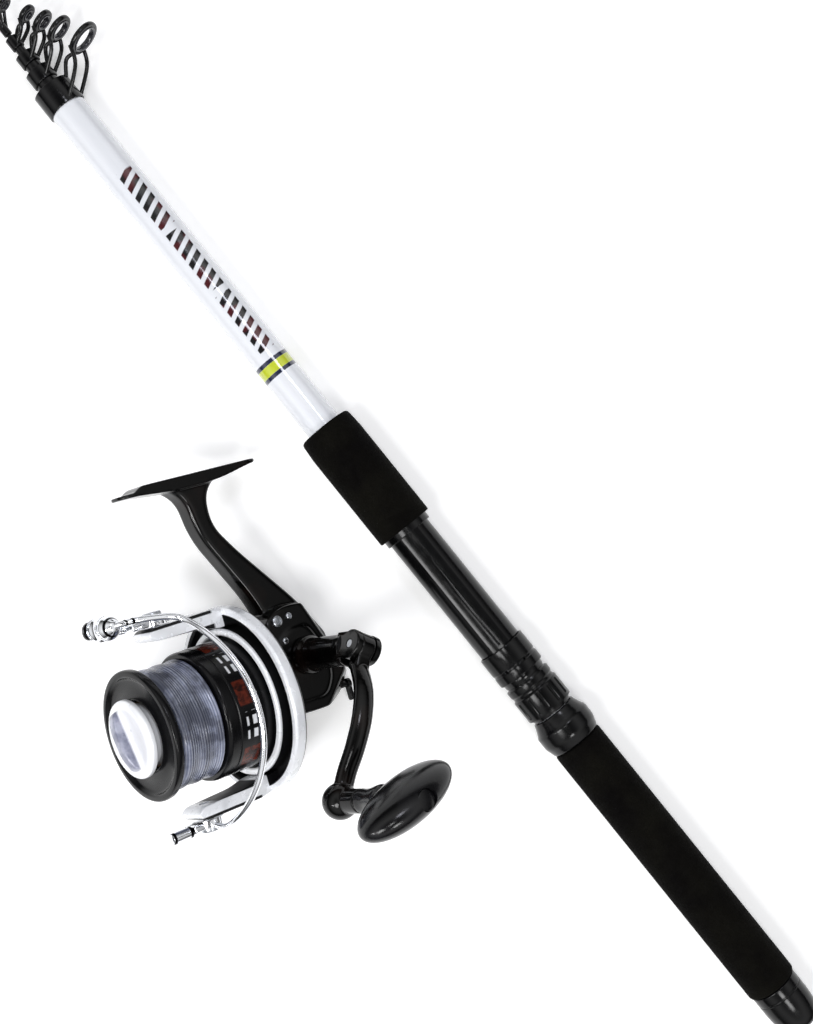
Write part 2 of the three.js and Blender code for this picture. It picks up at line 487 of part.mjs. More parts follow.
function buildDrive(reel) {
  const at = [0, 0, GEAR_OFFSET];
  const ring = (r0, r1, y0, y1) =>
    turned([[r0, y0], [r1, y0], [r1, y1], [r0, y1], [r0, y0]], "y", 20, at);
  add(reel, "bearing_cover_side", ring(3.5, 6.5, -11.8, -8), "steel");
  add(reel, "bearing_handle_side", ring(3.5, 6.5, 9.5, 12.3), "steel");
  add(reel, "bearing_pinion", sleeve([[12.2, 5], [15.1, 5]], [[12.2, 3.4], [15.1, 3.4]], 20), "steel");
  // Drive gear: a disc with slanted teeth on its face, the small gear for the crank gear, and its shaft.
  const mean = Math.hypot(GEAR_MESH, GEAR_OFFSET), slant = Math.atan2(GEAR_OFFSET, GEAR_MESH) - rad(45);
  const disc = turned([[0, -7.6], [mean + 1.5, -7.6], [mean + 1.5, -4.9], [0, -4.9]], "y", GEAR_TEETH);
  const teeth = [];
  for (let i = 0; i < GEAR_TEETH; i++) {
    const tooth = new THREE.CylinderGeometry(0.16, 0.42, 1.7, 4, 1).rotateY(Math.PI / 4).toNonIndexed();
    tooth.scale(1, 1, 4.6).translate(0, -4.35, 0);
    tooth.rotateY(Math.PI / 2 - slant).translate(mean, 0, 0);
    tooth.rotateY((2 * Math.PI * i) / GEAR_TEETH + rad(GEAR_PHASE));
    teeth.push(faceOut(tooth));
  }
  const shaft = turned([[0, -12], [3.2, -12], [3.2, 25], [0, 25]], "y", 20);
  const small = faceOut(new THREE.ExtrudeGeometry(outline(gearPoints(12, 5.29, 0.75, 1, 0.44)),
    { depth: 3, bevelEnabled: false }).rotateX(Math.PI / 2).translate(0, 7.6, 0));
  add(reel, "drive_gear", join(disc, ...teeth, shaft, small).translate(...at), "brass");
  // Pinion: helical teeth ahead of the gear axis, then the plain sleeve that carries the rotor.
  const from = GEAR_MESH - 4.5, to = GEAR_MESH + 4;
  const pinion = join(helix(gearPoints(PINION_TEETH, PINION_R, 0.65, 0.75, 0.5), from, to,
    (to - from) / PINION_R, 6), rodOn("x", 3.05, 11, 27.5, [0, 0, 0], 16));
  add(reel, "pinion_gear", cut(pinion, rodOn("x", SHAFT_R + GAP, -10, 40, [0, 0, 0], 20)), "brass");
  add(reel, "main_shaft", rodOn("x", SHAFT_R, -13.8, 80.8, [0, 0, 0], 14), "steel");
  // Crosshead on the tail of the main shaft, and the rail that keeps it upright.
  const head = plate([[-14, -4, 1], [-9.5, -4, 1], [-9.5, 8, 1], [-14, 8, 1]], -2.9, 2.9, 0, 1);
  add(reel, "crosshead", cut(head, rodOn("x", SHAFT_R + 0.15, -30, 0, [0, 0, 0], 16),
    rodOn("x", 1.3, -30, 0, RAIL_AT, 12)), "steel");
  add(reel, "crosshead_rail", rodOn("x", 1, -20, -4, RAIL_AT, 12), "steel");
  const crank = faceOut(new THREE.ExtrudeGeometry(outline(gearPoints(20, 8.82, 0.75, 1, 0.44)),
    { depth: 2.4, bevelEnabled: false }).rotateX(Math.PI / 2).translate(0, 7.3, 0));
  const pin = rodOn("y", 1.2, 3.3, 6, [-5.2, 0, 0], 12), axle = rodOn("y", 1.8, 6, 11.5, [0, 0, 0], 12);
  add(reel, "crank_gear", join(crank, pin, axle).rotateY(rad(CRANK_PHASE)).translate(...CRANK_AT), "brass");
}

function buildRotor(reel) {
  const ringFront = X_RING_BACK + RING_WIDTH, floor = X_ROTOR_BACK + ROTOR_WALL, hub = SHAFT_R + 1.65;
  const inside = ROTOR_RING_R - RING_DEPTH;
  const cup = turned([[hub, X_ROTOR_BACK], [14, X_ROTOR_BACK], [24, X_ROTOR_BACK + 0.8],
    [ROTOR_CUP_R + 1.3, X_ROTOR_BACK + 3.9], [ROTOR_RING_R - 1, X_RING_BACK - 1.4], [ROTOR_RING_R, X_RING_BACK],
    [ROTOR_RING_R, ringFront - 0.8], [ROTOR_RING_R - 0.8, ringFront], [inside + 1, ringFront],
    [inside + 0.2, ringFront - 0.8], [inside, X_RING_BACK + 0.6],
    [ROTOR_CUP_R + 2.5, X_RING_BACK - 1], [ROTOR_CUP_R + 0.7, X_RING_BACK - 1],
    [ROTOR_CUP_R, X_RING_BACK - 0.2], [ROTOR_CUP_R, X_ROTOR_RIM - 0.6], [ROTOR_CUP_R - 0.6, X_ROTOR_RIM],
    [CUP_BORE_R + 0.8, X_ROTOR_RIM], [CUP_BORE_R, X_ROTOR_RIM - 0.6], [CUP_BORE_R, floor + 1.4],
    [CUP_BORE_R - 1.6, floor + 0.6], [14, floor], [hub, floor], [hub, X_ROTOR_BACK]], "x", 32);
  const tip = X_PIVOT + 8.5;
  const armLine = [[X_RING_BACK - 3.9, ROTOR_CUP_R - 0.7], [X_RING_BACK - 0.4, ARM_Z - 2.8, 2],
    [X_RING_BACK + 7.6, ARM_Z, 4], [tip - 4, ARM_Z, 2], [tip, ARM_Z - 2.8, 2.5], [tip - 3.5, ARM_Z - 5.6, 2],
    [X_ROTOR_RIM + 9, ARM_Z - 6.4, 3], [X_ROTOR_RIM + 1, ROTOR_CUP_R + 0.3, 3],
    [X_RING_BACK + 2.6, ROTOR_CUP_R + 0.3]];
  const arm = plate(armLine, -7.5, 7.5, 1.2, 2);
  const arms = [arm, faceOut(arm.clone().rotateX(Math.PI))];
  const holes = rodOn("z", 2.3, -60, 60, [X_PIVOT, 0, 0], 14);
  const inner = turned([[0, floor + 0.8], [CUP_BORE_R, floor + 1.4], [CUP_BORE_R, 80], [0, 80]], "x", 32);
  add(reel, "rotor", cut(join(cup, ...arms), holes, inner), "silver");
  const hex = new THREE.CylinderGeometry(6.4, 6.4, 4, 6).rotateZ(Math.PI / 2).translate(floor + 2.6, 0, 0);
  add(reel, "rotor_nut", cut(faceOut(hex), rodOn("x", hub, 0, 60, [0, 0, 0], 20)), "steel");
}

function buildSpool(reel) {
  add(reel, "spool", turned([[SHAFT_R + GAP, 57], [SHAFT_R + GAP, X_LIP - 9], [14.8, X_LIP - 9],
    [14.8, X_LIP - 1.4], [15.6, X_LIP - 1], [23.5, X_LIP - 1.6], [24.6, X_LIP], [SPOOL_R - 0.6, X_LIP - 0.4],
    [SPOOL_R, X_LIP - 1.6], [SPOOL_R - 0.2, X_LIP - 3.4], [LINE_R - 0.6, X_LINE_FRONT + 0.6],
    [SPOOL_CORE_R, X_LINE_FRONT], [SPOOL_CORE_R, X_LINE_REAR], [SPOOL_SKIRT_R - 0.8, X_LINE_REAR - 0.2],
    [SPOOL_SKIRT_R, X_LINE_REAR - 1.4], [SPOOL_SKIRT_R, X_SKIRT_REAR + 0.8],
    [SPOOL_SKIRT_R - 0.6, X_SKIRT_REAR], [SPOOL_SKIRT_R - 1.6, X_SKIRT_REAR],
    [SPOOL_SKIRT_R - 1.6, X_LINE_REAR - 3], [9, X_LINE_REAR - 2.4], [7, 57], [SHAFT_R + GAP, 57]],
    "x", 30), "black");
  const lineBore = SPOOL_CORE_R + GAP;
  add(reel, "line_pack", turned([[lineBore, X_LINE_REAR + 0.4], [LINE_R - 0.7, X_LINE_REAR + 0.4],
    [LINE_R, X_LINE_REAR + 3], [LINE_R, X_LINE_FRONT - 3], [LINE_R - 0.9, X_LINE_FRONT - GAP],
    [lineBore, X_LINE_FRONT - GAP], [lineBore, X_LINE_REAR + 0.4]], "x", 30), "line");
  const washer = (r0, r1, x0, x1) => sleeve([[x0, r1], [x1, r1]], [[x0, r0], [x1, r0]], 18);
  add(reel, "drag_felt_rear", washer(SHAFT_R + GAP, 14, X_LIP - 8.7, X_LIP - 7.5), "felt");
  add(reel, "drag_washer", washer(SHAFT_R + GAP, 14.2, X_LIP - 7.2, X_LIP - 6.2), "steel");
  add(reel, "drag_felt_front", washer(SHAFT_R + GAP, 14, X_LIP - 5.9, X_LIP - 4.7), "felt");
  const k = X_LIP + 1.2; // rear of the knob's rim
  const knob = turned([[0, k + 3.6], [14.6, k + 3.6], [16.2, k + 2.6], [16.3, k + 0.6], [15.4, k],
    [13.2, k - 0.4], [13, k - 5.6], [SHAFT_R + GAP, k - 5.6], [SHAFT_R + GAP, k + 0.6], [0, k + 0.6]], "x", 24);
  const fin = plate([[k + 3, -13], [k + 6.5, -12.2, 3], [k + 8.6, -6, 5], [k + 8.6, 6, 5], [k + 6.5, 12.2, 3],
    [k + 3, 13]], -2.3, 2.3, 0.7);
  add(reel, "drag_knob", join(knob, fin.rotateX(rad(16))), "silver");
}

function buildBail(reel) {
  const z = ARM_Z + 0.6, px = X_PIVOT, rx = px + ROLLER_REACH;
  const boss = (s) => rodOn("z", 6.4, s * z, s * (z + 3.4), [px, 0, 0], 20);
  const hole = rodOn("z", 2.3, -70, 70, [px, 0, 0], 16);
  const bar = plate([[px, z], [px + 12.5, z], [px + 12.5, z + 3, 1], [px, z + 3]], -5.3, 4.6);
  const cheek = plate([[px + 2, z], [px + 15, z, 2], [rx + 6.4, ROLLER_Z - 3, 3], [rx + 6.6, ROLLER_Z + 3, 3],
    [rx, ROLLER_Z + 5.6, 4], [rx - 5.6, ROLLER_Z + 3, 3], [px + 8, z + 3.4, 3], [px + 2, z + 3]],
  -5.3, -2.6, 0.5);
  const pinHole = rodOn("y", 1.9, -20, 20, [rx, 0, ROLLER_Z], 14);
  add(reel, "bail_arm", cut(join(boss(1), bar, cheek), hole, pinHole), "chrome");
  add(reel, "line_roller", turned([[1.9, -2.3], [5, -2.3], [5.2, -1.6], [4.1, 0.2], [4.1, 2.2], [5.2, 4],
    [5, 4.7], [1.9, 4.7], [1.9, -2.3]], "y", 16, [rx, 0, ROLLER_Z]), "chrome");
  add(reel, "roller_screw", turned([[0, -6.9], [2.6, -6.9], [3.1, -6.2], [3.1, -5.6], [1.6, -5.6], [1.6, 8.4],
    [0, 8.4]], "y", 14, [rx, 0, ROLLER_Z]), "steel");
  const cone = turned([[0, 5], [4.9, 5], [5, 6], [3.4, 8.8], [2, 10.6], [0, 11]], "y", 16, [rx, 0, ROLLER_Z]);
  const bow = BAIL_BOW, back = BAIL_BACK;
  const path = [[rx, 9, ROLLER_Z], [rx - 2.5, 12, ROLLER_Z + 0.4], [rx - 9, 15.5, ROLLER_Z],
    [px + 3, 18, ROLLER_Z - 2]];
  for (const deg of [62, 48, 33, 17, 0, -17, -33, -48, -63, -76]) {
    const c = Math.cos(rad(deg)), sn = Math.sin(rad(deg));
    path.push([px + back * c * c, bow * c, (bow + 1) * sn]);
  }
  path.push([px + 1, 3, -z - 1.7]);
  const lever = plate(
    [[px - 2, -z - 3.2], [px + 9.5, -z - 3.2, 1], [px + 9.5, -z, 1], [px - 2, -z]], -4.2, 4.2, 0.6);
  const stub = turned([[0, px + 8], [2.4, px + 8], [2.4, px + 18.4], [2, px + 19], [0, px + 19]], "x", 12,
    [0, 0, -z - 2.5]);
  add(reel, "bail_wire", cut(join(cone, wire(path, BAIL_WIRE_R, 6, 26), boss(-1), lever, stub), hole,
    rodOn("y", 1.9, -20, 8.7, [rx, 0, ROLLER_Z], 14)), "chrome");
  for (const [name, s] of [["bail_screw_upper", 1], ["bail_screw_lower", -1]])
    add(reel, name, turned([[0, s * (z - 3.4)], [2, s * (z - 3.4)], [2, s * (z + 3.7)], [4, s * (z + 3.7)],
      [4, s * (z + 4.6)], [3, s * (z + 5.3)], [0, s * (z + 5.3)]], "z", 16, [px, 0, 0]), "steel");
}

function buildHandle(reel) {
  const handle = new THREE.Group();
  handle.name = "handle";
  handle.position.set(0, 0, GEAR_OFFSET);
  handle.rotation.y = rad(-CRANK_LEAN); // the crank leaves along local -z
  const y = ARM_PLANE, hinge = FOLD_Y, end = -CRANK_LENGTH, eye = 6.2;
  const tube = turned([[3.5, 14.2], [8.2, 14.2], [8.2, 17], [6.7, 19], [6.7, 41], [7.4, 44], [7.4, 45.2],
    [0, 45.2], [0, 26], [3.5, 26], [3.5, 14.2]], "y", 24);
  const ear = (s) => join(
    rodOn("x", eye, s * 3.6, s * 6.2, [0, hinge, 0], 20),
    block(2.6, 9, 11, [s * 4.9, 47, 0]));
  const pinHole = rodOn("x", 1.9, -20, 20, [0, hinge, 0], 14);
  add(handle, "handle_hub", cut(join(tube, ear(1), ear(-1)), pinHole), "black");
  add(handle, "fold_pin", turned([[0, -7.4], [2.4, -7.4], [3, -6.8], [3, -6.5], [1.6, -6.5], [1.6, 6], [0, 6]],
    "x", 14, [0, hinge, 0]), "steel");
  const eyeBody = rodOn("x", eye - 0.2, -3.3, 3.3, [0, hinge, 0], 20);
  const root = block(6.6, 6.4, 9, [0, hinge + 1.2, -5.2]);
  const crank = wire([[0, hinge + 1, -8], [0, y + 1.6, -18], [0, y + 4.4, -30], [0, y + 3.6, -42],
    [0, y + 1.4, -52], [0, y + 1, end]], 4.4, 8, 9, 3.4);
  const ball = new THREE.SphereGeometry(7.3, 14, 9).toNonIndexed().translate(0, y + 1, end);
  const neck = rodOn("y", 4.8, y, y + 15, [0, 0, end], 14);
  add(handle, "handle_arm", cut(join(eyeBody, root, crank, faceOut(ball), neck), pinHole,
    rodOn("y", 2.5, y + 2, y + 30, [0, 0, end], 14)), "black");
  // Knob: a paddle across the crank's end, free to spin on its pin.
  const paddle = new THREE.SphereGeometry(1, 18, 10).toNonIndexed();
  paddle.scale(KNOB_THICKNESS / 2, KNOB_HEIGHT / 2, KNOB_LENGTH / 2).translate(0, y + 42, 0);
  const collar = turned([[0, y + 15.3], [4.9, y + 15.3], [4.6, y + 20], [7, y + 31], [0, y + 34]], "y", 18);
  const knob = cut(join(faceOut(paddle), collar), rodOn("y", 2.5, y, y + 80, [0, 0, 0], 14),
    rodOn("y", 4.3, y + 52, y + 80, [0, 0, 0], 18));
  const turn = (g) => g.rotateY(rad(KNOB_TURN)).translate(0, 0, end);
  add(handle, "handle_knob", turn(knob), "black");
  add(handle, "knob_pin", turn(turned([[0, y + 4], [2.2, y + 4], [2.2, y + 52.3], [3.7, y + 52.3],
    [3.7, y + 53.6], [0, y + 53.6]], "y", 14)), "steel");
  add(handle, "knob_cap", turn(
    turned([[0, y + 54], [4, y + 54], [4, y + 54.8], [0, y + 55.3]], "y", 18)), "black");
  reel.add(handle);
}

// Lays a group down on the face of its own hull whose outward normal is nearest the wanted one.
function settle(group, wanted) {
  group.updateMatrixWorld(true);
  const points = [];
  group.traverse((o) => {
    if (!o.isMesh) return;
    const at = o.geometry.attributes.position;
    for (let i = 0; i < at.count; i++)
      points.push(new THREE.Vector3().fromBufferAttribute(at, i).applyMatrix4(o.matrixWorld));
  });
  const faces = new ConvexHull().setFromPoints(points).faces;
  const best = faces.reduce((a, b) => (b.normal.dot(wanted) > a.normal.dot(wanted) ? b : a));
  const turn = new THREE.Quaternion().setFromUnitVectors(best.normal, new THREE.Vector3(0, 0, -1));
  const ahead = new THREE.Vector3(1, 0, 0).applyQuaternion(turn);
  const yaw = rad(REEL_HEADING) - Math.atan2(ahead.y, ahead.x);
  group.quaternion.setFromAxisAngle(new THREE.Vector3(0, 0, 1), yaw).multiply(turn);
  group.position.set(REEL_X, REEL_Y, best.constant);
}

function buildReel() {
  const reel = new THREE.Group();
  reel.name = "reel";
  buildBody(reel);
  buildDrive(reel);
  buildRotor(reel);
  buildSpool(reel);
  buildBail(reel);
  buildHandle(reel);
  settle(reel, RESTING_DOWN);
  return reel;
}

root.add(buildRod(), buildReel());
// Centre the whole on its own box.
const box = new THREE.Box3().setFromObject(root, true);
for (const part of root.children) {
  part.position.x -= (box.min.x + box.max.x) / 2;
  part.position.y -= (box.min.y + box.max.y) / 2;
}
export default root;
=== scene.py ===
"""The looks of a telescopic fishing rod and the spinning reel that lies beside it."""

import json
import math

import bpy
from mathutils import Matrix, Vector


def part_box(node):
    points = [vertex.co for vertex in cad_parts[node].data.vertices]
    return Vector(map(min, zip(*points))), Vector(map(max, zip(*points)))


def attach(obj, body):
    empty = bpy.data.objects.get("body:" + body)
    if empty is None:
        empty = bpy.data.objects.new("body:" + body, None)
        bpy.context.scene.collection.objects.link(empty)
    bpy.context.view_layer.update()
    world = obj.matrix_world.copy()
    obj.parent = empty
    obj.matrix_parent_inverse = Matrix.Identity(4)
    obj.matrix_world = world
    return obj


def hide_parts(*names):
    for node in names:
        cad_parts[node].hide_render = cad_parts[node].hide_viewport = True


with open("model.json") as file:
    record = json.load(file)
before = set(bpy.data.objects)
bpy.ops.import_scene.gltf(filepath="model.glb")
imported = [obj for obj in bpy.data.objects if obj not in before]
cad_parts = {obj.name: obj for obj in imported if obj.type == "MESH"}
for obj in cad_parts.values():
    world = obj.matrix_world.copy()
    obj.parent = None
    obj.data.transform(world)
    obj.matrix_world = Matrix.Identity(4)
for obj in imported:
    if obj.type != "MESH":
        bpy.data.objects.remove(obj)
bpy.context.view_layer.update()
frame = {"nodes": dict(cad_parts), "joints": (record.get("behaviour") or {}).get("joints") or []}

# ---- places, all worked out from the frame ----
# The rod, the reel and its handle are drawn in millimetres about their own axes, then laid in place.
JOINTS = {joint["name"]: joint for joint in frame["joints"]}
MILLIMETRES = Matrix.Scale(0.001, 4)


def own_axes(x, y, z, origin):
    """The matrix that lays a group drawn in millimetres along these directions, from this origin."""
    turn = Matrix((x, y, z)).transposed().to_4x4()
    return Matrix.Translation(origin) @ turn @ MILLIMETRES


def middle(node):
    """The centre of a CAD node."""
    low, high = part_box(node)
    return (Vector(low) + Vector(high)) / 2


def box_in(place, *nodes):
    """The lowest and highest corner of CAD nodes in a group's own millimetres."""
    back = place.inverted()
    points = [back @ v.co for node in nodes for v in frame["nodes"][node].data.vertices]
    return [Vector([pick(p[i] for p in points) for i in range(3)]) for pick in (min, max)]


rod_axis = middle("butt_section")
ROD = Matrix.Translation((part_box("butt_cap")[0][0], rod_axis.y, rod_axis.z)) @ MILLIMETRES
ahead = Vector(JOINTS["rotor_turn"]["axis"])
outward = Vector(JOINTS["handle_turn"]["axis"])
REEL = own_axes(ahead, outward, ahead.cross(outward), JOINTS["rotor_turn"]["pos_m"])
hinge_line = -Vector(JOINTS["handle_fold"]["axis"])
HANDLE = own_axes(hinge_line, outward, hinge_line.cross(outward), JOINTS["handle_turn"]["pos_m"])
ring_side = middle("guide_1_ring") - rod_axis
GUIDES = ROD @ Matrix.Rotation(math.atan2(-ring_side.y, ring_side.z), 4, "X")

# ---- modelling ----


def start(name, at):
    """A new mesh that is a single point, in edit mode, ready to be drawn out by extruding."""
    bpy.ops.object.select_all(action="DESELECT")
    bpy.ops.mesh.primitive_plane_add(size=1, location=(0, 0, 0))
    piece = bpy.context.object
    piece.name = name
    bpy.ops.object.mode_set(mode="EDIT")
    bpy.ops.mesh.merge(type="CENTER")
    bpy.ops.transform.translate(value=at)
    return piece


def draw(points):
    """Extrudes the selected point along the rest of a line."""
    for before, after in zip(points, points[1:]):
        step = [b - a for a, b in zip(before, after)]
        bpy.ops.mesh.extrude_region_move(TRANSFORM_OT_translate={"value": step})


def rounded(points, closed=False, steps=4):
    """A line of (a, b) points, where a third number rounds the corner by that much."""
    line = []
    count = len(points)
    for i, point in enumerate(points):
        corner = Vector(point[:2])
        reach = point[2] if len(point) > 2 else 0
        if not reach or (not closed and i in (0, count - 1)):
            line.append(tuple(corner))
            continue
        back = Vector(points[i - 1][:2]) - corner
        on = Vector(points[(i + 1) % count][:2]) - corner
        reach = min(reach, back.length * 0.48, on.length * 0.48)
        a, b = corner + back.normalized() * reach, corner + on.normalized() * reach
        for k in range(steps + 1):
            t = k / steps
            line.append(tuple(a * (1 - t) ** 2 + corner * 2 * t * (1 - t) + b * t * t))
    return line


def close_up():
    """Merges what meets, turns every face outwards and leaves edit mode."""
    bpy.ops.mesh.select_all(action="SELECT")
    bpy.ops.mesh.remove_doubles(threshold=0.002)
    bpy.ops.mesh.normals_make_consistent(inside=False)
    bpy.ops.object.mode_set(mode="OBJECT")


def turned(name, profile, sides=96, axis="x", centre=(0, 0, 0)):
    """A piece turned on a lathe: (place along the axis, radius) points, spun round it."""
    line = rounded(profile)
    lay = {"x": lambda h, r: (h, 0, r), "y": lambda h, r: (r, h, 0), "z": lambda h, r: (r, 0, h)}[axis]
    points = [tuple(c + p for c, p in zip(centre, lay(h, r))) for h, r in line]
    piece = start(name, points[0])
    draw(points)
    bpy.ops.mesh.select_all(action="SELECT")
    direction = {"x": (1, 0, 0), "y": (0, 1, 0), "z": (0, 0, 1)}[axis]
    bpy.ops.mesh.spin(steps=sides, angle=math.tau, center=centre, axis=direction)
    close_up()
    return piece


def plate(name, outline, low, high, across="y", steps=4):
    """A piece cut to an outline and given a thickness from low to high along one axis."""
    line = rounded(outline, closed=True, steps=steps)
    lay = {"y": lambda a, b: (a, low, b), "x": lambda a, b: (low, a, b),
           "z": lambda a, b: (a, b, low)}[across]
    points = [lay(a, b) for a, b in line]
    piece = start(name, points[0])
    draw(points)
    bpy.ops.mesh.select_all(action="SELECT")
    bpy.ops.mesh.edge_face_add()
    step = [(high - low) * (axis == across) for axis in "xyz"]
    bpy.ops.mesh.extrude_region_move(TRANSFORM_OT_translate={"value": step})
    close_up()
    return piece


def bent(name, points, radii, sides=16, smooth=6):
    """A round bar bent along points, with a radius at each, its line smoothed between them."""
    knots = [Vector(p) for p in points]
    line, thick = [], []
    for i in range(len(knots) - 1):
        p0, p1, p2, p3 = knots[max(i - 1, 0)], knots[i], knots[i + 1], knots[min(i + 2, len(knots) - 1)]
        for k in range(smooth):
            t = k / smooth
            line.append(0.5 * (2 * p1 + (p2 - p0) * t + (2 * p0 - 5 * p1 + 4 * p2 - p3) * t * t
                               + (3 * p1 - p0 - 3 * p2 + p3) * t ** 3))
            thick.append(radii[i] * (1 - t) + radii[i + 1] * t)
    line.append(knots[-1])
    thick.append(radii[-1])
    piece = start(name, line[0])
    draw(line)
    bpy.ops.object.mode_set(mode="OBJECT")
    bpy.ops.object.convert(target="CURVE")
    bar = bpy.context.object.data
    bar.bevel_depth = 1
    bar.bevel_resolution = sides // 4
    bar.use_fill_caps = True
    for point, radius in zip(bar.splines[0].points, thick):
        point.radius = radius
    bpy.ops.object.convert(target="MESH")
    bpy.ops.object.mode_set(mode="EDIT")
    close_up()
    return piece


def ball(name, radii, centre):
    """A ball or an egg, flattened to three radii."""
    bpy.ops.object.select_all(action="DESELECT")
    bpy.ops.mesh.primitive_uv_sphere_add(segments=64, ring_count=40, radius=1, location=(0, 0, 0))
    piece = bpy.context.object
    piece.name = name
    bpy.ops.object.mode_set(mode="EDIT")
    bpy.ops.transform.resize(value=radii)
    bpy.ops.transform.translate(value=centre)
    bpy.ops.object.mode_set(mode="OBJECT")
    return piece


def apply(piece, kind, **settings):
    """Gives a piece a modifier and applies it."""
    modifier = piece.modifiers.new(kind.title(), kind)
    for key, value in settings.items():
        setattr(modifier, key, value)
    bpy.context.view_layer.objects.active = piece
    bpy.ops.object.modifier_apply(modifier=modifier.name)
    return piece


def soften(piece, width, segments=3, angle=32):
    """Rounds the sharp edges of a piece."""
    return apply(piece, "BEVEL", width=width, segments=segments, limit_method="ANGLE",
                 angle_limit=math.radians(angle), use_clamp_overlap=True)


def combine(piece, how, *others):
    """Joins the others to a piece (UNION), cuts them away (DIFFERENCE) or keeps the overlap (INTERSECT)."""
    for other in others:
        apply(piece, "BOOLEAN", operation=how, solver="EXACT", object=other)
        bpy.data.objects.remove(other)
    return piece


def turn(piece, degrees, axis):
    """Turns a piece's mesh about one of the axes it is drawn on."""
    piece.data.transform(Matrix.Rotation(math.radians(degrees), 4, axis))
    return piece


def shift(piece, *step):
    """Moves a piece's mesh."""
    piece.data.transform(Matrix.Translation(step))
    return piece


def copy(piece, name):
    """Another piece with a mesh of its own."""
    twin = piece.copy()
    twin.data = piece.data.copy()
    twin.name = name
    bpy.context.scene.collection.objects.link(twin)
    return twin


def moulded(piece, grain, smooth, keep):
    """Melts the joined forms of a casting into one skin with soft inner corners: the grain of the skin,
    the passes that smooth it and the share of its faces that stay."""
    apply(piece, "REMESH", mode="VOXEL", voxel_size=grain, use_smooth_shade=True)
    apply(piece, "SMOOTH", factor=0.5, iterations=smooth)
    return apply(piece, "DECIMATE", ratio=keep)


def finish(piece, place, material, body, nodes, angle=35):
    """Lays a piece in place, gives it its finish, hangs it on its body and hides the CAD nodes it stands
    for.
    """
    bpy.ops.object.select_all(action="DESELECT")
    piece.matrix_world = place
    piece.select_set(True)
    bpy.context.view_layer.objects.active = piece
    bpy.ops.object.transform_apply(location=True, rotation=True, scale=True)
    bpy.ops.object.shade_smooth_by_angle(angle=math.radians(angle))
    piece.data.materials.clear()
    piece.data.materials.append(material)
    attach(piece, body)
    if nodes:
        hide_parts(*nodes)
    return piece


# ---- materials ----


def linear(code):
    """An sRGB hex colour as the linear values that the nodes work in."""
    channels = [int(code[i:i + 2], 16) / 255 for i in (1, 3, 5)]
    return [c / 12.92 if c <= 0.04045 else ((c + 0.055) / 1.055) ** 2.4 for c in channels] + [1]


def new_tree(name):
    """An empty node material and its tree."""
    material = bpy.data.materials.new(name)
    material.use_nodes = True
    material.node_tree.nodes.clear()
    return material, material.node_tree


def add_node(tree, kind, settings=None, inputs=None):
    """One node, with its settings, and each input set to a value or linked to another node's output."""
    node = tree.nodes.new(kind)
    for key, value in (settings or {}).items():
        setattr(node, key, value)
    for key, value in (inputs or {}).items():
        if isinstance(value, bpy.types.NodeSocket):
            tree.links.new(value, node.inputs[key])
        else:
            node.inputs[key].default_value = value
    return node


def math_node(tree, operation, *values):
    """A sum of two or three values, and its result."""
    return add_node(tree, "ShaderNodeMath", {"operation": operation}, dict(enumerate(values))).outputs[0]


def local(tree, place=None):
    """Object coordinates in metres, turned to a group's own axes where a place is given."""
    coordinates = add_node(tree, "ShaderNodeTexCoord").outputs["Object"]
    if place is None:
        return coordinates
    back = (place @ MILLIMETRES.inverted()).inverted()
    return add_node(tree, "ShaderNodeMapping", {"vector_type": "POINT"},
                    {"Vector": coordinates, "Location": back.to_translation(),
                     "Rotation": back.to_euler()}).outputs[0]


def mixed(tree, factor, first, second):
    """A blend of two colours, each a hex code or a socket."""
    pick = [linear(c) if isinstance(c, str) else c for c in (first, second)]
    return add_node(tree, "ShaderNodeMix", {"data_type": "RGBA"},
                    {0: factor, 6: pick[0], 7: pick[1]}).outputs[2]


def noise(tree, where, size_mm, detail=3, roughness=0.55):
    """Noise whose lumps are about this many millimetres across."""
    return add_node(tree, "ShaderNodeTexNoise", None,
                    {"Vector": where, "Scale": 1000 / size_mm, "Detail": detail,
                     "Roughness": roughness}).outputs["Fac"]


def ramp(tree, value, low, high, to_low=0.0, to_high=1.0):
    """A value's range stretched to another range, and held at its ends."""
    return add_node(tree, "ShaderNodeMapRange", {"clamp": True},
                    {0: value, 1: low, 2: high, 3: to_low, 4: to_high}).outputs[0]


def bump(tree, height, depth_mm, after=None):
    """A relief of this depth, laid over another where one is given."""
    inputs = {"Height": height, "Distance": depth_mm / 1000, "Strength": 1.0}
    if after:
        inputs["Normal"] = after
    return add_node(tree, "ShaderNodeBump", None, inputs).outputs[0]


def surface(tree, **sockets):
    """The shader, with its own sockets set or linked, and the output."""
    inputs = {key.replace("_", " "): value for key, value in sockets.items()}
    shader = add_node(tree, "ShaderNodeBsdfPrincipled", None, inputs)
    add_node(tree, "ShaderNodeOutputMaterial", None, {"Surface": shader.outputs[0]})


def between(tree, value, low, high, edge):
    """One where a value lies between two limits, nought elsewhere, with edges this soft."""
    up = ramp(tree, value, low - edge, low + edge)
    down = ramp(tree, value, high - edge, high + edge, 1.0, 0.0)
    return math_node(tree, "MULTIPLY", up, down)


def around(tree, where):
    """The place along x and the angle about it, from a group's own coordinates."""
    parts = add_node(tree, "ShaderNodeSeparateXYZ", None, {0: where})
    return parts.outputs["X"], math_node(tree, "ARCTAN2", parts.outputs["Y"], parts.outputs["Z"])


def winding(tree, along, angle, pitch, starts=1):
    """The crests and troughs of a spiral wound with this pitch in metres."""
    place = math_node(tree, "MULTIPLY", along, math.tau / pitch)
    if starts > 1:
        angle = math_node(tree, "MULTIPLY", angle, float(starts))
    return math_node(tree, "SINE", math_node(tree, "ADD", place, angle))


def peel(tree, where, size_mm, low, high):
    """A roughness that drifts between two values over patches of this many millimetres."""
    return ramp(tree, noise(tree, where, size_mm), 0.3, 0.7, low, high)


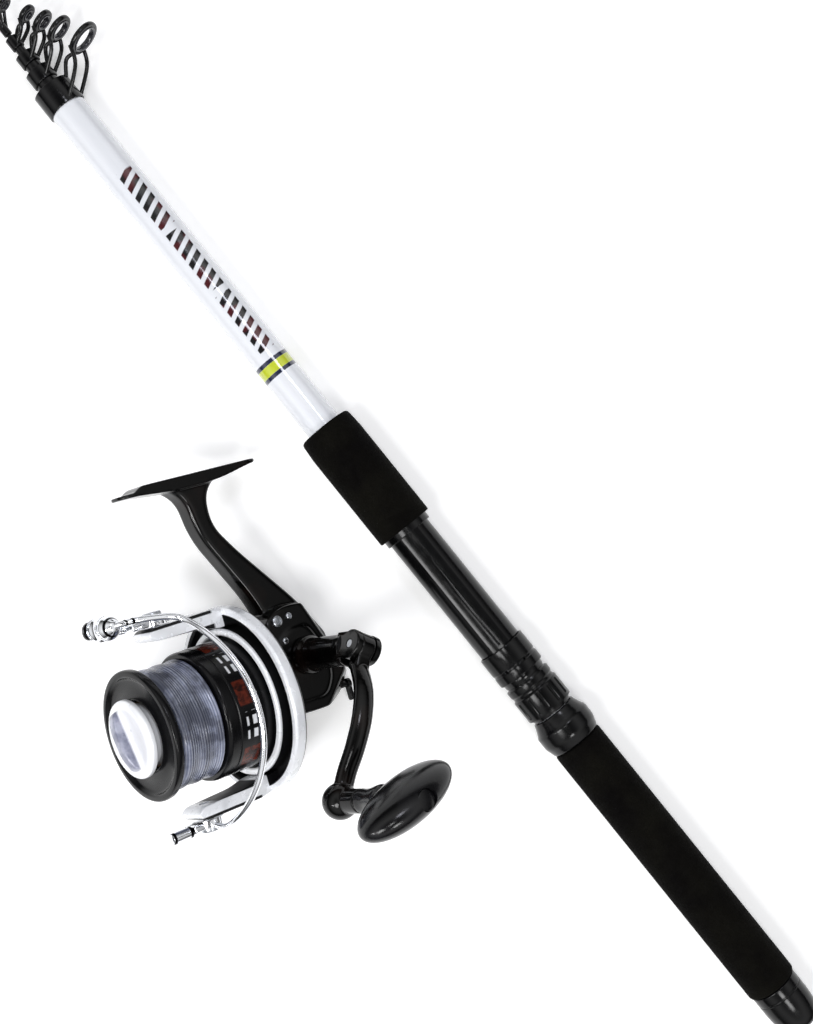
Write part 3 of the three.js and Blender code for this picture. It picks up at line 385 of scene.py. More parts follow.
# Print on the blank, in metres along the rod: three runs of slanted bars, and the trim band by the grip.
BARS_FROM, BARS_TO, BAR_PITCH, RUNS_FROM, RUN_LENGTH = 0.370, 0.468, 0.0052, 0.3698, 0.0338
TRIM = ((0.3585, 0.3603, "#141c3c"), (0.3603, 0.3645, "#c3cf2e"), (0.3645, 0.3663, "#141c3c"))
WRAP_PITCH, SECTION_WRAP_PITCH = 0.003, 0.002


def lacquered_blank():
    """Wound glass fibre under white lacquer: a deep clear gloss over faint spiral winding marks.
    A trim band near the grip and three runs of short slanted bars dress the side that faces up."""
    material, tree = new_tree("white_lacquered_glass_fibre")
    where = local(tree, ROD)
    along, angle = around(tree, where)
    # Wrapping tape leaves a spiral about 3 mm wide.
    spiral = winding(tree, along, angle, WRAP_PITCH)
    base = mixed(tree, noise(tree, where, 25), "#eceef2", "#e2e5ec")
    bars_x = between(tree, along, BARS_FROM, BARS_TO, 0.0004)
    bars_a = between(tree, angle, -0.75, 0.2, 0.02)
    slant = math_node(tree, "ADD", along, math_node(tree, "MULTIPLY", angle, 0.004))
    share = math_node(tree, "FRACT", math_node(tree, "DIVIDE", slant, BAR_PITCH))
    bar = between(tree, share, 0.16, 0.72, 0.03)
    from_first = math_node(tree, "SUBTRACT", along, RUNS_FROM)
    runs = math_node(tree, "FRACT", math_node(tree, "DIVIDE", from_first, RUN_LENGTH))
    bar = math_node(tree, "MULTIPLY", bar, between(tree, runs, 0.01, 0.92, 0.005))
    bars = math_node(tree, "MULTIPLY", bar, math_node(tree, "MULTIPLY", bars_x, bars_a))
    tone = ramp(tree, noise(tree, where, 9, 1), 0.5, 0.56)
    base = mixed(tree, bars, base, mixed(tree, tone, "#08070a", "#480912"))
    for low, high, colour in TRIM:
        base = mixed(tree, between(tree, along, low, high, 0.0001), base, colour)
    surface(tree, Base_Color=base, Roughness=peel(tree, where, 8, 0.16, 0.24),
            Coat_Weight=1.0, Coat_Roughness=0.05, Normal=bump(tree, spiral, 0.004))
    return material


def black_lacquer():
    """Glass fibre sections under black lacquer: a hard gloss over the faint ribs of the winding."""
    material, tree = new_tree("black_lacquered_glass_fibre")
    where = local(tree, ROD)
    along, angle = around(tree, where)
    spiral = winding(tree, along, angle, SECTION_WRAP_PITCH)
    base = mixed(tree, noise(tree, where, 6), "#040405", "#0a0a0c")
    surface(tree, Base_Color=base, Roughness=peel(tree, where, 5, 0.1, 0.18),
            Specular_IOR_Level=0.3, Normal=bump(tree, spiral, 0.004))
    return material


# Cells of a random pattern to the metre: the foam's cut cells, and the flakes in silver paint.
FOAM_CELLS, PAINT_FLAKES = 1400.0, 2500.0


def closed_cell_foam():
    """EVA foam ground to a round grip: open cut cells a third of a millimetre across, drawn twice as coarse
    so that they show, their pits painted darker as shade, and a dull skin, worn a little paler in broad
    patches."""
    material, tree = new_tree("ground_eva_foam")
    where = local(tree)
    cells = add_node(tree, "ShaderNodeTexVoronoi", {"feature": "F1"},
                     {"Vector": where, "Scale": FOAM_CELLS}).outputs["Distance"]
    pit_depth_and_shade = ramp(tree, cells, 0.1, 0.6)
    patches = ramp(tree, noise(tree, where, 22, 4), 0.35, 0.65)
    base = mixed(tree, patches, "#040303", "#0e0d09")
    # Painted shade: the pits of the cells are painted darker.
    base = mixed(tree, ramp(tree, pit_depth_and_shade, 0.0, 1.0, 0.55, 0.0), base, "#040403")
    relief = bump(tree, pit_depth_and_shade, 0.12)
    surface(tree, Base_Color=base, Roughness=peel(tree, where, 3, 0.82, 0.95),
            Specular_IOR_Level=0.06, Normal=bump(tree, noise(tree, where, 9), 0.15, relief))
    return material


def moulded_black():
    """Glass-filled nylon from a polished mould: gloss black with the slight orange peel of the mould."""
    material, tree = new_tree("gloss_moulded_nylon")
    where = local(tree)
    base = mixed(tree, noise(tree, where, 12), "#040405", "#0a0a0b")
    surface(tree, Base_Color=base, Roughness=peel(tree, where, 4, 0.14, 0.22),
            Specular_IOR_Level=0.25, Normal=bump(tree, noise(tree, where, 1.6, 2), 0.01))
    return material


def painted_casting():
    """Die-cast aluminium under black stoving enamel: wet-looking gloss, warm brown where it is thin."""
    material, tree = new_tree("black_stoved_casting")
    where = local(tree, REEL)
    warm = ramp(tree, noise(tree, where, 16, 2), 0.5, 0.72)
    base = mixed(tree, warm, "#030303", "#150d0a")
    surface(tree, Base_Color=base, Roughness=peel(tree, where, 5, 0.1, 0.2),
            Specular_IOR_Level=0.25, Normal=bump(tree, noise(tree, where, 2.2, 2), 0.012))
    return material


def silver_paint(tree, where, low, high):
    """The colour of silver-white paint: flakes, drawn as coarse as 0.4 mm, in a tone that drifts slowly."""
    flakes = add_node(tree, "ShaderNodeTexVoronoi", None,
                      {"Vector": where, "Scale": PAINT_FLAKES}).outputs["Color"]
    grey = add_node(tree, "ShaderNodeSeparateColor", None, {0: flakes}).outputs[0]
    tone = ramp(tree, noise(tree, where, 14, 2), 0.35, 0.65, 0.0, 0.6)
    return mixed(tree, math_node(tree, "MULTIPLY_ADD", grey, 0.1, tone), low, high)


# Where the rotor's paint gives way to painted shade in black, in metres out from its axis and along it: the
# trough between its ring and its cup, the back behind the ring, and the edges of its arms.
TROUGH_SHADE_OUT, TROUGH_SHADE_ALONG = (0.0314, 0.0376), (0.024, 0.0316)
BACK_SHADE_ALONG, ARM_EDGE_SHADES, ARM_SHADE_ALONG = (0.0, 0.0262), ((0.0389, 0.0402), (0.0325, 0.0345)), (0.036, 0.07)


def rotor_paint():
    """The rotor's silver-white paint under clear lacquer. The trough between its ring and its cup, the back
    behind the ring and the edges of both arms are painted black, as painted shade for the dark lines that
    shadow leaves there."""
    material, tree = new_tree("silver_paint_on_nylon")
    where = local(tree, REEL)
    parts = add_node(tree, "ShaderNodeSeparateXYZ", None, {0: where})
    along, across, up = parts.outputs[0], parts.outputs[1], math_node(tree, "ABSOLUTE", parts.outputs[2])
    out = math_node(tree, "SQRT", math_node(tree, "ADD", math_node(tree, "POWER", across, 2.0),
                                            math_node(tree, "POWER", up, 2.0)))
    # Painted shade, drawn black: the trough, the back behind the ring and the arms' edges.
    trough_shade = math_node(tree, "MULTIPLY", between(tree, out, *TROUGH_SHADE_OUT, 0.0001),
                       between(tree, along, *TROUGH_SHADE_ALONG, 0.0001))
    back = between(tree, along, *BACK_SHADE_ALONG, 0.0002)
    edge_shade = math_node(tree, "ADD", *[between(tree, up, *edge, 0.0001) for edge in ARM_EDGE_SHADES])
    edge_shade = math_node(tree, "MULTIPLY", edge_shade, between(tree, along, *ARM_SHADE_ALONG, 0.0005))
    painted_shade = math_node(tree, "MAXIMUM", math_node(tree, "MAXIMUM", trough_shade, back), edge_shade)
    # Where the painted shade lies, the silver gives way to black.
    base = mixed(tree, painted_shade, silver_paint(tree, where, "#f3f5f8", "#e8eaf0"), "#060608")
    rough = peel(tree, where, 6, 0.22, 0.32)
    surface(tree, Base_Color=base, Metallic=ramp(tree, painted_shade, 0.0, 1.0, 0.15, 0.0),
            Roughness=math_node(tree, "MULTIPLY_ADD", painted_shade, 0.2, rough), Specular_IOR_Level=0.3,
            Coat_Weight=ramp(tree, painted_shade, 0.0, 1.0, 0.4, 0.0), Coat_Roughness=0.06,
            Normal=bump(tree, noise(tree, where, 3, 2), 0.002))
    return material


def drag_knob_paint():
    """The drag knob's silver-white paint: a bright rim, and a grip fin painted greyer as shade."""
    material, tree = new_tree("silver_paint_on_knob")
    where = local(tree, REEL)
    along, _ = around(tree, where)
    fin = ramp(tree, along, (KNOB_FACE_X + 4.2) / 1000, (KNOB_FACE_X + 5.2) / 1000)
    rim = silver_paint(tree, where, "#f6f7fa", "#eceef3")
    # Painted shade: the grip fin is painted greyer than the rim.
    fin_shade_grey = mixed(tree, ramp(tree, noise(tree, where, 7, 3), 0.4, 0.6), "#a4a6b8", "#74778b")
    surface(tree, Base_Color=mixed(tree, fin, rim, fin_shade_grey), Metallic=0.1,
            Roughness=peel(tree, where, 6, 0.26, 0.36), Coat_Weight=0.5, Coat_Roughness=0.06,
            Normal=bump(tree, noise(tree, where, 3, 2), 0.006))
    return material


# Black rings of painted shade, in metres: out from the line roller's axle, then along from the bail's
# pivot.
ROLLER_SHADE_RINGS = ((0.0033, 0.004), (0.0056, 0.0066))
STUB_SHADE_BANDS = ((0.0094, 0.0106), (0.0172, 0.0184))


def plated_wire():
    """Stainless wire and plated castings of the bail: mirror bright, with hair-fine polishing marks.
    Two black rings of painted shade circle the line roller's axle, and two black bands of painted shade
    cross the lever's stub below."""
    material, tree = new_tree("polished_plate")
    where = local(tree, REEL)
    marks = noise(tree, where, 0.8, 4, 0.7)
    parts = add_node(tree, "ShaderNodeSeparateXYZ", None, {0: where})
    along, up = parts.outputs[0], parts.outputs[2]
    off = [math_node(tree, "POWER", math_node(tree, "SUBTRACT", a, b / 1000), 2.0)
           for a, b in ((along, ROLLER.x), (up, ROLLER.z))]
    reach = math_node(tree, "SQRT", math_node(tree, "ADD", *off))
    roller_shade = math_node(tree, "ADD", *[between(tree, reach, *groove, 0.0001) for groove in ROLLER_SHADE_RINGS])
    pivot = PIVOT_X / 1000
    stub = math_node(tree, "ADD", *[between(tree, along, pivot + low, pivot + high, 0.0001)
                                    for low, high in STUB_SHADE_BANDS])
    stub = math_node(tree, "MULTIPLY", stub, ramp(tree, up, -0.03, -0.031))
    # Painted shade: black rings round the roller's axle and black bands across the stub.
    black = math_node(tree, "MAXIMUM", roller_shade, stub)
    surface(tree, Base_Color=mixed(tree, black, mixed(tree, marks, "#e0e3e8", "#f2f3f6"), "#0b0b0d"),
            Metallic=1.0, Roughness=ramp(tree, marks, 0.3, 0.7, 0.08, 0.18),
            Normal=bump(tree, marks, 0.003))
    return material


def turned_steel():
    """Steel screws, pins and bearings: satin, with rings left by the lathe tool."""
    material, tree = new_tree("turned_steel")
    where = local(tree)
    marks = noise(tree, where, 0.5, 3)
    surface(tree, Base_Color=mixed(tree, marks, "#9a9da3", "#c3c6cb"), Metallic=1.0,
            Roughness=ramp(tree, marks, 0.3, 0.7, 0.22, 0.38), Normal=bump(tree, marks, 0.006))
    return material


def cut_brass():
    """Machined brass gears: a warm yellow with cutter marks and a little dark grease."""
    material, tree = new_tree("cut_brass")
    where = local(tree)
    grease = ramp(tree, noise(tree, where, 5, 4), 0.5, 0.7)
    surface(tree, Base_Color=mixed(tree, grease, "#c9a050", "#7c5a24"), Metallic=1.0,
            Roughness=ramp(tree, grease, 0.0, 1.0, 0.25, 0.45),
            Normal=bump(tree, noise(tree, where, 0.6, 3), 0.01))
    return material


def pressed_felt():
    """Drag washers of pressed wool felt: matte brown fibres."""
    material, tree = new_tree("pressed_felt")
    where = local(tree)
    fibres = noise(tree, where, 0.4, 6, 0.7)
    surface(tree, Base_Color=mixed(tree, fibres, "#4a3c2d", "#7a6750"), Roughness=0.95,
            Normal=bump(tree, fibres, 0.1))
    return material


def polished_ceramic():
    """Guide rings of sintered ceramic, polished to a dark glassy gloss."""
    material, tree = new_tree("polished_ceramic")
    where = local(tree)
    surface(tree, Base_Color=mixed(tree, noise(tree, where, 2), "#1a1b20", "#2c2d34"),
            Roughness=peel(tree, where, 3, 0.08, 0.16), Specular_IOR_Level=0.7)
    return material


def knob_plastic():
    """The paddle knob: smooth black thermoplastic, satin from handling."""
    material, tree = new_tree("satin_thermoplastic")
    where = local(tree)
    worn = ramp(tree, noise(tree, where, 12, 3), 0.4, 0.7)
    surface(tree, Base_Color=mixed(tree, worn, "#050506", "#0d0d10"),
            Roughness=ramp(tree, worn, 0.0, 1.0, 0.16, 0.26), Specular_IOR_Level=0.32,
            Normal=bump(tree, noise(tree, where, 1.2, 3), 0.012))
    return material


# Turns of line are a third of a millimetre thick, and are drawn at 1.1 mm so that they show.
LINE_PITCH = 0.0011


def wound_line():
    """Nylon line wound on the spool: turns painted paler along their crowns as a highlight, over navy
    grooves, bunched in bands, with darker patches where they lie loose."""
    material, tree = new_tree("wound_nylon_line")
    where = local(tree, REEL)
    along, angle = around(tree, where)
    crowns_and_highlight = ramp(tree, winding(tree, along, angle, LINE_PITCH, 2), -1.0, 1.0)
    # Each traverse of the spool leaves the turns bunched in bands across its width.
    across = add_node(tree, "ShaderNodeCombineXYZ", None,
                      {0: along, 1: math_node(tree, "MULTIPLY", angle, 0.0006)}).outputs[0]
    bands = ramp(tree, noise(tree, across, 3.2, 3), 0.36, 0.64)
    loose = ramp(tree, noise(tree, where, 11, 3), 0.42, 0.58)
    base = mixed(tree, bands, "#1b223c", "#8990ac")
    # A painted highlight: each turn is painted paler along its crown.
    base = mixed(tree, math_node(tree, "MULTIPLY", crowns_and_highlight, 0.5), base, "#c4c9d8")
    base = mixed(tree, ramp(tree, loose, 0.0, 1.0, 0.0, 0.75), base, "#11162a")
    surface(tree, Base_Color=base, Roughness=ramp(tree, loose, 0.0, 1.0, 0.2, 0.34), Specular_IOR_Level=0.6,
            Normal=bump(tree, math_node(tree, "ADD", crowns_and_highlight, bands), 0.1))
    return material


# The skirt's print: how many fields and dashes go round it, and where they lie in metres from its rear.
FIELDS, DASHES = 6, 30
FIELD_ALONG, DASH_ROWS = (0.0105, 0.019), ((0.0125, 0.0145), (0.0165, 0.0175))


def spool_enamel():
    """Black anodised and lacquered spool. Its skirt has a plain printed band of dark red fields
    between short silver dashes."""
    material, tree = new_tree("lacquered_anodised_spool")
    where = local(tree, REEL)
    along, angle = around(tree, where)
    base = mixed(tree, noise(tree, where, 9), "#060607", "#0e0e10")
    half_turn = math_node(tree, "ADD", angle, math.pi)
    share = math_node(tree, "FRACT", math_node(tree, "MULTIPLY", half_turn, FIELDS / math.tau))
    skirt = SKIRT_REAR_X / 1000
    field = math_node(tree, "MULTIPLY", between(tree, share, 0.1, 0.46, 0.01),
                      between(tree, along, skirt + FIELD_ALONG[0], skirt + FIELD_ALONG[1], 0.0002))
    mottled = mixed(tree, ramp(tree, noise(tree, where, 3, 4), 0.4, 0.6), "#260d09", "#5e2417")
    base = mixed(tree, field, base, mottled)
    dash_share = math_node(tree, "FRACT", math_node(tree, "MULTIPLY", half_turn, DASHES / math.tau))
    dash = math_node(tree, "MULTIPLY", between(tree, dash_share, 0.15, 0.8, 0.03),
                     between(tree, share, 0.56, 0.98, 0.01))
    rows = math_node(tree, "ADD", *[between(tree, along, skirt + low, skirt + high, 0.0002)
                                    for low, high in DASH_ROWS])
    base = mixed(tree, math_node(tree, "MULTIPLY", dash, rows), base, "#e4e6ea")
    surface(tree, Base_Color=base, Roughness=peel(tree, where, 5, 0.16, 0.26),
            Specular_IOR_Level=0.18, Normal=bump(tree, noise(tree, where, 2), 0.008))
    return material


# ---- the reel's sizes, from the frame ----
spool_low, spool_high = box_in(REEL, "spool")
SKIRT_REAR_X = spool_low.x
LIP_X = spool_high.x
SPOOL_R = spool_high.z
rotor_low, rotor_high = box_in(REEL, "rotor")
RING_R = rotor_high.y
ARM_TOP = rotor_high.z
pack_low, pack_high = box_in(REEL, "line_pack")
PIVOT_X = (REEL.inverted() @ Vector(JOINTS["bail_flip"]["pos_m"])).x
ROLLER = REEL.inverted() @ Vector(JOINTS["line_roller_spin"]["pos_m"])
cover_low, cover_high = box_in(REEL, "side_cover")
FOOT_Z = box_in(REEL, "gear_housing")[1].z
KNOB_NECK = 5.6
KNOB_FACE_X = box_in(REEL, "drag_knob")[0].x + KNOB_NECK
# The room left between pieces that slide or turn on each other.
GAP = 0.3

white = lacquered_blank()
lacquer = black_lacquer()
foam = closed_cell_foam()
nylon = moulded_black()
casting = painted_casting()
rotor_silver = rotor_paint()
knob_silver = drag_knob_paint()
plated = plated_wire()
steel = turned_steel()
brass = cut_brass()
felt = pressed_felt()
ceramic = polished_ceramic()
thermoplastic = knob_plastic()
line_finish = wound_line()
spool_finish = spool_enamel()

# ---- the rod ----
# Places along the rod from its butt end, then radii, then the height of the seat's flat bed.
CAP_END, GRIP_END, RING_END = 22, 156.5, 172.5
NUT_X, NUT_LENGTH, HOOD_X, HOOD_LENGTH = 174.5, 16, 194, 14.5
SEAT_END, FIXED_HOOD_END, FORE_X, FORE_END = 271, 289, 274, 329.5
BLANK_R, BLANK_BORE, SEAT_R, HOOD_R, FORE_R, REAR_R, CAP_R = 8.1, 7.2, 9.9, 11.1, 12.9, 11.5, 10.7
MOUTH_X, BUTT_END = 505.5, 517
BED = 8.9
# The seat's thread, and the flutes round the lock nut.
THREAD_TURNS, THREAD_PITCH, FLUTES = 9, 2, 12


def make_rod():
    """Everything that belongs to the butt section: cap, grips, seat and the white blank."""
    cap = turned("butt_cap_shell", [(0, 0), (0, 9.2, 5.5), (CAP_R * 0.9, CAP_R, 5), (16.5, CAP_R),
                                    (16.8, CAP_R - 0.35, 0.2), (17.4, CAP_R - 0.35, 0.2), (17.7, CAP_R),
                                    (CAP_END - GAP, CAP_R, 0.5), (CAP_END - GAP, BLANK_R + GAP),
                                    (14, BLANK_R + GAP), (14, BLANK_BORE - GAP), (27, BLANK_BORE - GAP),
                                    (27, 0)])
    finish(cap, ROD, nylon, "rod", ["butt_cap"])
    rear = turned("rear_foam_grip", [(CAP_END, BLANK_R + GAP), (CAP_END, REAR_R, 1.6), (60, REAR_R),
                                     (110, REAR_R), (GRIP_END - GAP, REAR_R, 1.6),
                                     (GRIP_END - GAP, BLANK_R + GAP), (CAP_END, BLANK_R + GAP)])
    finish(rear, ROD, foam, "rod", ["rear_grip"])
    blank = turned("white_blank", [(14 + GAP, BLANK_BORE), (14 + GAP, BLANK_R),
                                   (MOUTH_X - GAP, BLANK_R, 0.15), (MOUTH_X - GAP, BLANK_R - GAP),
                                   (BUTT_END, BLANK_R - GAP, 0.3), (BUTT_END, BLANK_BORE, 0.3),
                                   (14 + GAP, BLANK_BORE)], sides=128)
    finish(blank, ROD, white, "rod", ["butt_section"])
    ring = turned("flared_seat_ring", [(GRIP_END, BLANK_R + GAP), (GRIP_END, 11.4, 0.6),
                                       (GRIP_END + 2.6, 12.2, 0.8), (GRIP_END + 4.6, FORE_R, 1.2),
                                       (RING_END - 6, FORE_R, 1.2), (RING_END - 4.6, FORE_R - 0.9, 0.5),
                                       (RING_END - 1.6, HOOD_R - 0.4, 0.8), (RING_END, HOOD_R - 0.9, 0.4),
                                       (RING_END, BLANK_R + GAP), (GRIP_END, BLANK_R + GAP)])
    finish(ring, ROD, nylon, "rod", ["seat_ring"])
    make_seat()
    fore = turned("fore_foam_grip", [(FORE_X, HOOD_R + GAP), (FORE_X, FORE_R, 1.8), (FORE_END - 9, FORE_R),
                                     (FORE_END, FORE_R - 0.6, 2.4), (FORE_END, BLANK_R + GAP),
                                     (FIXED_HOOD_END + GAP, BLANK_R + GAP),
                                     (FIXED_HOOD_END + GAP, HOOD_R + GAP), (FORE_X, HOOD_R + GAP)])
    finish(fore, ROD, foam, "rod", ["fore_grip"])


def pocket(x0, x1, top):
    """The pocket inside a hood that takes an end of the reel foot."""
    half = math.sqrt(SEAT_R ** 2 - BED ** 2) + 1.6
    outline = [(-half, BED), (half, BED), (half * 0.8, top - 0.8, 0.5), (half * 0.35, top, 0.5),
               (-half * 0.35, top, 0.5), (-half * 0.8, top - 0.8, 0.5)]
    return plate("pocket", outline, x0, x1, across="x")


def make_seat():
    """The reel seat: a threaded barrel with a flat bed, two hoods and the lock nut."""
    thread = []
    for i in range(THREAD_TURNS):
        x = RING_END + 0.9 + THREAD_PITCH * i
        thread += [(x, SEAT_R - 0.42), (x + 0.7, SEAT_R), (x + 1.2, SEAT_R), (x + 1.9, SEAT_R - 0.42)]
    barrel = turned("seat_barrel_tube", [(RING_END + GAP, BLANK_R + GAP), (RING_END + GAP, SEAT_R - 0.42)]
                    + thread + [(HOOD_X - 2, SEAT_R), (FIXED_HOOD_END, SEAT_R, 0.3),
                                (FIXED_HOOD_END, BLANK_R + GAP), (RING_END + GAP, BLANK_R + GAP)])
    bed = plate("bed_cut", [(HOOD_X, BED), (SEAT_END + 17.5, BED), (SEAT_END + 17.5, BED + 6),
                            (HOOD_X, BED + 6)], -14, 14)
    groove = plate("groove_cut", [(HOOD_X + 16, BED - 0.45), (SEAT_END - 3, BED - 0.45),
                                  (SEAT_END - 3, BED + 2), (HOOD_X + 16, BED + 2)], -0.55, 0.55)
    combine(barrel, "DIFFERENCE", bed, groove)
    finish(soften(barrel, 0.12, 2, 40), ROD, nylon, "rod", ["seat_barrel"])
    hood = turned("sliding_hood_shell", [(HOOD_X, SEAT_R + GAP), (HOOD_X, HOOD_R, 0.9),
                                         (HOOD_X + 4.2, HOOD_R), (HOOD_X + 4.6, HOOD_R - 0.4, 0.2),
                                         (HOOD_X + 5.4, HOOD_R - 0.4, 0.2), (HOOD_X + 5.8, HOOD_R),
                                         (HOOD_X + HOOD_LENGTH, HOOD_R - 0.1, 1.4),
                                         (HOOD_X + HOOD_LENGTH, SEAT_R + GAP), (HOOD_X, SEAT_R + GAP)])
    combine(hood, "DIFFERENCE", pocket(HOOD_X + 3, HOOD_X + HOOD_LENGTH + 5, HOOD_R - 0.6))
    finish(soften(hood, 0.12, 2, 40), ROD, nylon, "sliding_hood", ["sliding_hood"])
    nut = turned("lock_nut_ring", [(NUT_X, SEAT_R + GAP), (NUT_X, HOOD_R, 0.8), (NUT_X + 10.6, HOOD_R, 0.6),
                                   (NUT_X + 11.2, HOOD_R - 0.8, 0.3), (NUT_X + 12.4, HOOD_R - 0.8, 0.3),
                                   (NUT_X + 13, HOOD_R - 0.3, 0.3), (NUT_X + NUT_LENGTH, HOOD_R - 0.3, 0.5),
                                   (NUT_X + NUT_LENGTH, SEAT_R + GAP), (NUT_X, SEAT_R + GAP)])
    flute = turned("flute", [(NUT_X + 1.6, 0), (NUT_X + 1.6, 1.1, 0.9), (NUT_X + 9.8, 1.1, 0.9),
                             (NUT_X + 9.8, 0)], 16, centre=(0, 0, HOOD_R + 0.35))
    others = [turn(copy(flute, f"flute_{i}"), 360 / FLUTES * i, "X") for i in range(1, FLUTES)]
    combine(nut, "DIFFERENCE", flute, *others)
    finish(soften(nut, 0.15, 2, 40), ROD, nylon, "lock_nut", ["lock_nut"])
    fixed = turned("fixed_hood_shell", [(SEAT_END, SEAT_R + GAP), (SEAT_END, HOOD_R, 0.8),
                                        (FIXED_HOOD_END, HOOD_R, 0.3), (FIXED_HOOD_END, SEAT_R + GAP),
                                        (SEAT_END, SEAT_R + GAP)])
    combine(fixed, "DIFFERENCE", pocket(SEAT_END - 5, FIXED_HOOD_END - 2, HOOD_R - 0.6))
    finish(soften(fixed, 0.12, 2, 40), ROD, nylon, "rod", ["fixed_hood"])


# Each drawn section: its base and tip along the rod, outer radii, and bore radii, nought where it is solid.
SECTIONS = {"section_2": (32, 527, 6.9, 5.1, 6.2, 4.4), "section_3": (36, 536, 4.1, 3.6, 3.45, 3.0),
            "section_4": (40, 545, 2.7, 2.2, 2.15, 1.7), "section_5": (44, 553, 1.4, 1.0, 0, 0)}
# Each guide: its body, its collar's two ends, bore and radius, the ring's height and radius, and its lean.
GUIDE_SIZES = {"guide_1": ("rod", MOUTH_X, BUTT_END, 8.1, 8.8, 25.2, 8.2, 7),
               "guide_2": ("section_2", 520.3, 526.7, 5.4, 5.9, 19.4, 6.8, 7.5),
               "guide_3": ("section_3", 530.2, 535.7, 3.9, 4.4, 15.8, 5.6, 6),
               "guide_4": ("section_4", 539.2, 544.7, 2.45, 2.95, 12.4, 4.6, 4)}
# The tilt of the rings in degrees, the radii of the wire, and the tip ring's place from its section's end.
RING_TILT = 14
FRAME_WIRE, TIP_WIRE = 0.9, 0.75
TIP_RING_AHEAD, TIP_RING_HEIGHT = 4.2, 6.9


def make_sections():
    """The drawn sections: plain tapered tubes, and a solid tip."""
    for node, (base, tip, r0, r1, b0, b1) in SECTIONS.items():
        if b0:
            profile = [(base, b0), (base, r0), (tip, r1, 0.25), (tip, b1, 0.2), (base, b0)]
        else:
            profile = [(base, 0), (base, r0, 0.2), (tip, r1, 0.3), (tip, 0)]
        finish(turned(node + "_tube", profile, 64), ROD, lacquer, node, [node])


def make_guides():
    """Line guides: a collar on the section, a wire frame of two legs and a brace, and a ceramic ring."""
    for node, (body, x0, x1, bore, on, reach, ring, lean) in GUIDE_SIZES.items():
        xr, hold = x1 - 1.5 + lean, ring - 1.7
        hoop = turned(node + "_frame", [(-1.1, hold), (-1.1, ring - 0.4, 0.5), (0, ring, 0.8),
                                        (1.1, ring - 0.4, 0.5), (1.1, hold), (-1.1, hold)], 64)
        shift(turn(hoop, RING_TILT, "Y"), xr, 0, reach)
        side, foot = ring * 0.78, on * 0.62
        legs = [bent("leg", [(x0 + 1.6, s * foot, foot),
                             (x0 + (xr - x0) * 0.55, s * side * 0.9, on + (reach - on) * 0.5),
                             (xr - 0.4, s * side, reach - ring * 0.55)], [FRAME_WIRE] * 3) for s in (1, -1)]
        brace = bent("brace", [(x1 - 1, 0, on - 0.3), (xr - 1.4, 0, (on + reach - ring) / 2 + 0.4),
                               (xr - 1.6, 0, reach - ring + 0.7)], [FRAME_WIRE] * 3)
        collar = turned("collar", [(x0, bore - 0.6), (x0, on, 0.3), (x1, on, 0.3), (x1, bore - 0.6),
                                   (x0, bore - 0.6)], 64)
        tube = turned("bore", [(x0 - 20, 0), (x0 - 20, bore), (x1 + 20, bore), (x1 + 20, 0)], 64)
        combine(hoop, "UNION", collar, *legs, brace)
        combine(hoop, "DIFFERENCE", tube)
        finish(hoop, GUIDES, lacquer, body, [node])
        out, hole = ring - 2, ring - 3.3
        insert = turned(node + "_ceramic", [(0, hole), (-1.0, hole + 0.25, 0.5), (-1.4, hole + 0.8, 0.4),
                                            (-1.4, out), (1.4, out), (1.4, hole + 0.8, 0.4),
                                            (1.0, hole + 0.25, 0.5), (0, hole)], 64)
        shift(turn(insert, RING_TILT, "Y"), xr, 0, reach)
        finish(insert, GUIDES, ceramic, body, [node + "_ring"])


def make_tip_top():
    """The tip guide: a capped tube with a ring that leans ahead on two prongs and a stay."""
    last = SECTIONS["section_5"][1]
    tube = turned("tip_top_frame", [(last - 6.5, 1.3), (last - 6.5, 1.9, 0.2), (last + 0.3, 1.9),
                                    (last + 1.6, 1.5, 0.6), (last + 1.6, 0), (last + GAP, 0),
                                    (last + GAP, 1.3), (last - 6.5, 1.3)], 48)
    hoop = turned("hoop", [(-0.9, 2.5), (-0.9, 3.7, 0.4), (0, 4, 0.5), (0.9, 3.7, 0.4), (0.9, 2.5),
                           (-0.9, 2.5)], 48)
    shift(turn(hoop, RING_TILT, "Y"), last + TIP_RING_AHEAD, 0, TIP_RING_HEIGHT)
    prongs = [bent("prong", [(last - 3, s * 1.4, 0.8), (last + 1.5, s * 2.4, 3.2), (last + 4, s * 2.7, 5)],
                   [TIP_WIRE] * 3) for s in (1, -1)]
    stay = bent("stay", [(last, 0, 1.6), (last + 1.6, 0, 2.5), (last + 3.2, 0, 3.4)], [TIP_WIRE] * 3)
    hollow = turned("hollow", [(last - 30, 0), (last - 30, 1.3), (last + GAP, 1.3), (last + GAP, 0)], 48)
    combine(tube, "UNION", hoop, *prongs, stay)
    combine(tube, "DIFFERENCE", hollow)
    finish(tube, GUIDES, lacquer, "section_5", ["tip_top"])
    insert = turned("tip_top_ceramic", [(0, 1.6), (-0.8, 1.75, 0.3), (-1.1, 2.2), (1.1, 2.2),
                                        (0.8, 1.75, 0.3), (0, 1.6)], 48)
    shift(turn(insert, RING_TILT, "Y"), last + TIP_RING_AHEAD, 0, TIP_RING_HEIGHT)
    finish(insert, GUIDES, ceramic, "section_5", ["tip_top_ring"])


# ---- the reel ----
GEAR_Z = (REEL.inverted() @ Vector(JOINTS["handle_turn"]["pos_m"])).z
COVER_Y = cover_low.y
PARTING_Y = cover_high.y
COVER_SCREWS = [(11, 22), (-4, 27.5), (-3.5, -8.4)]
# The screws on the handle side: place, radius of the head, and the CAD node that each stands for.
HOUSING_SCREWS = [(10, 27.5, 2.4, ["housing_screw"]), (3.8, 28.2, 1.5, []), (8.6, 18.6, 1.5, [])]
LEVER_AT = (-20, 5, -8.5)
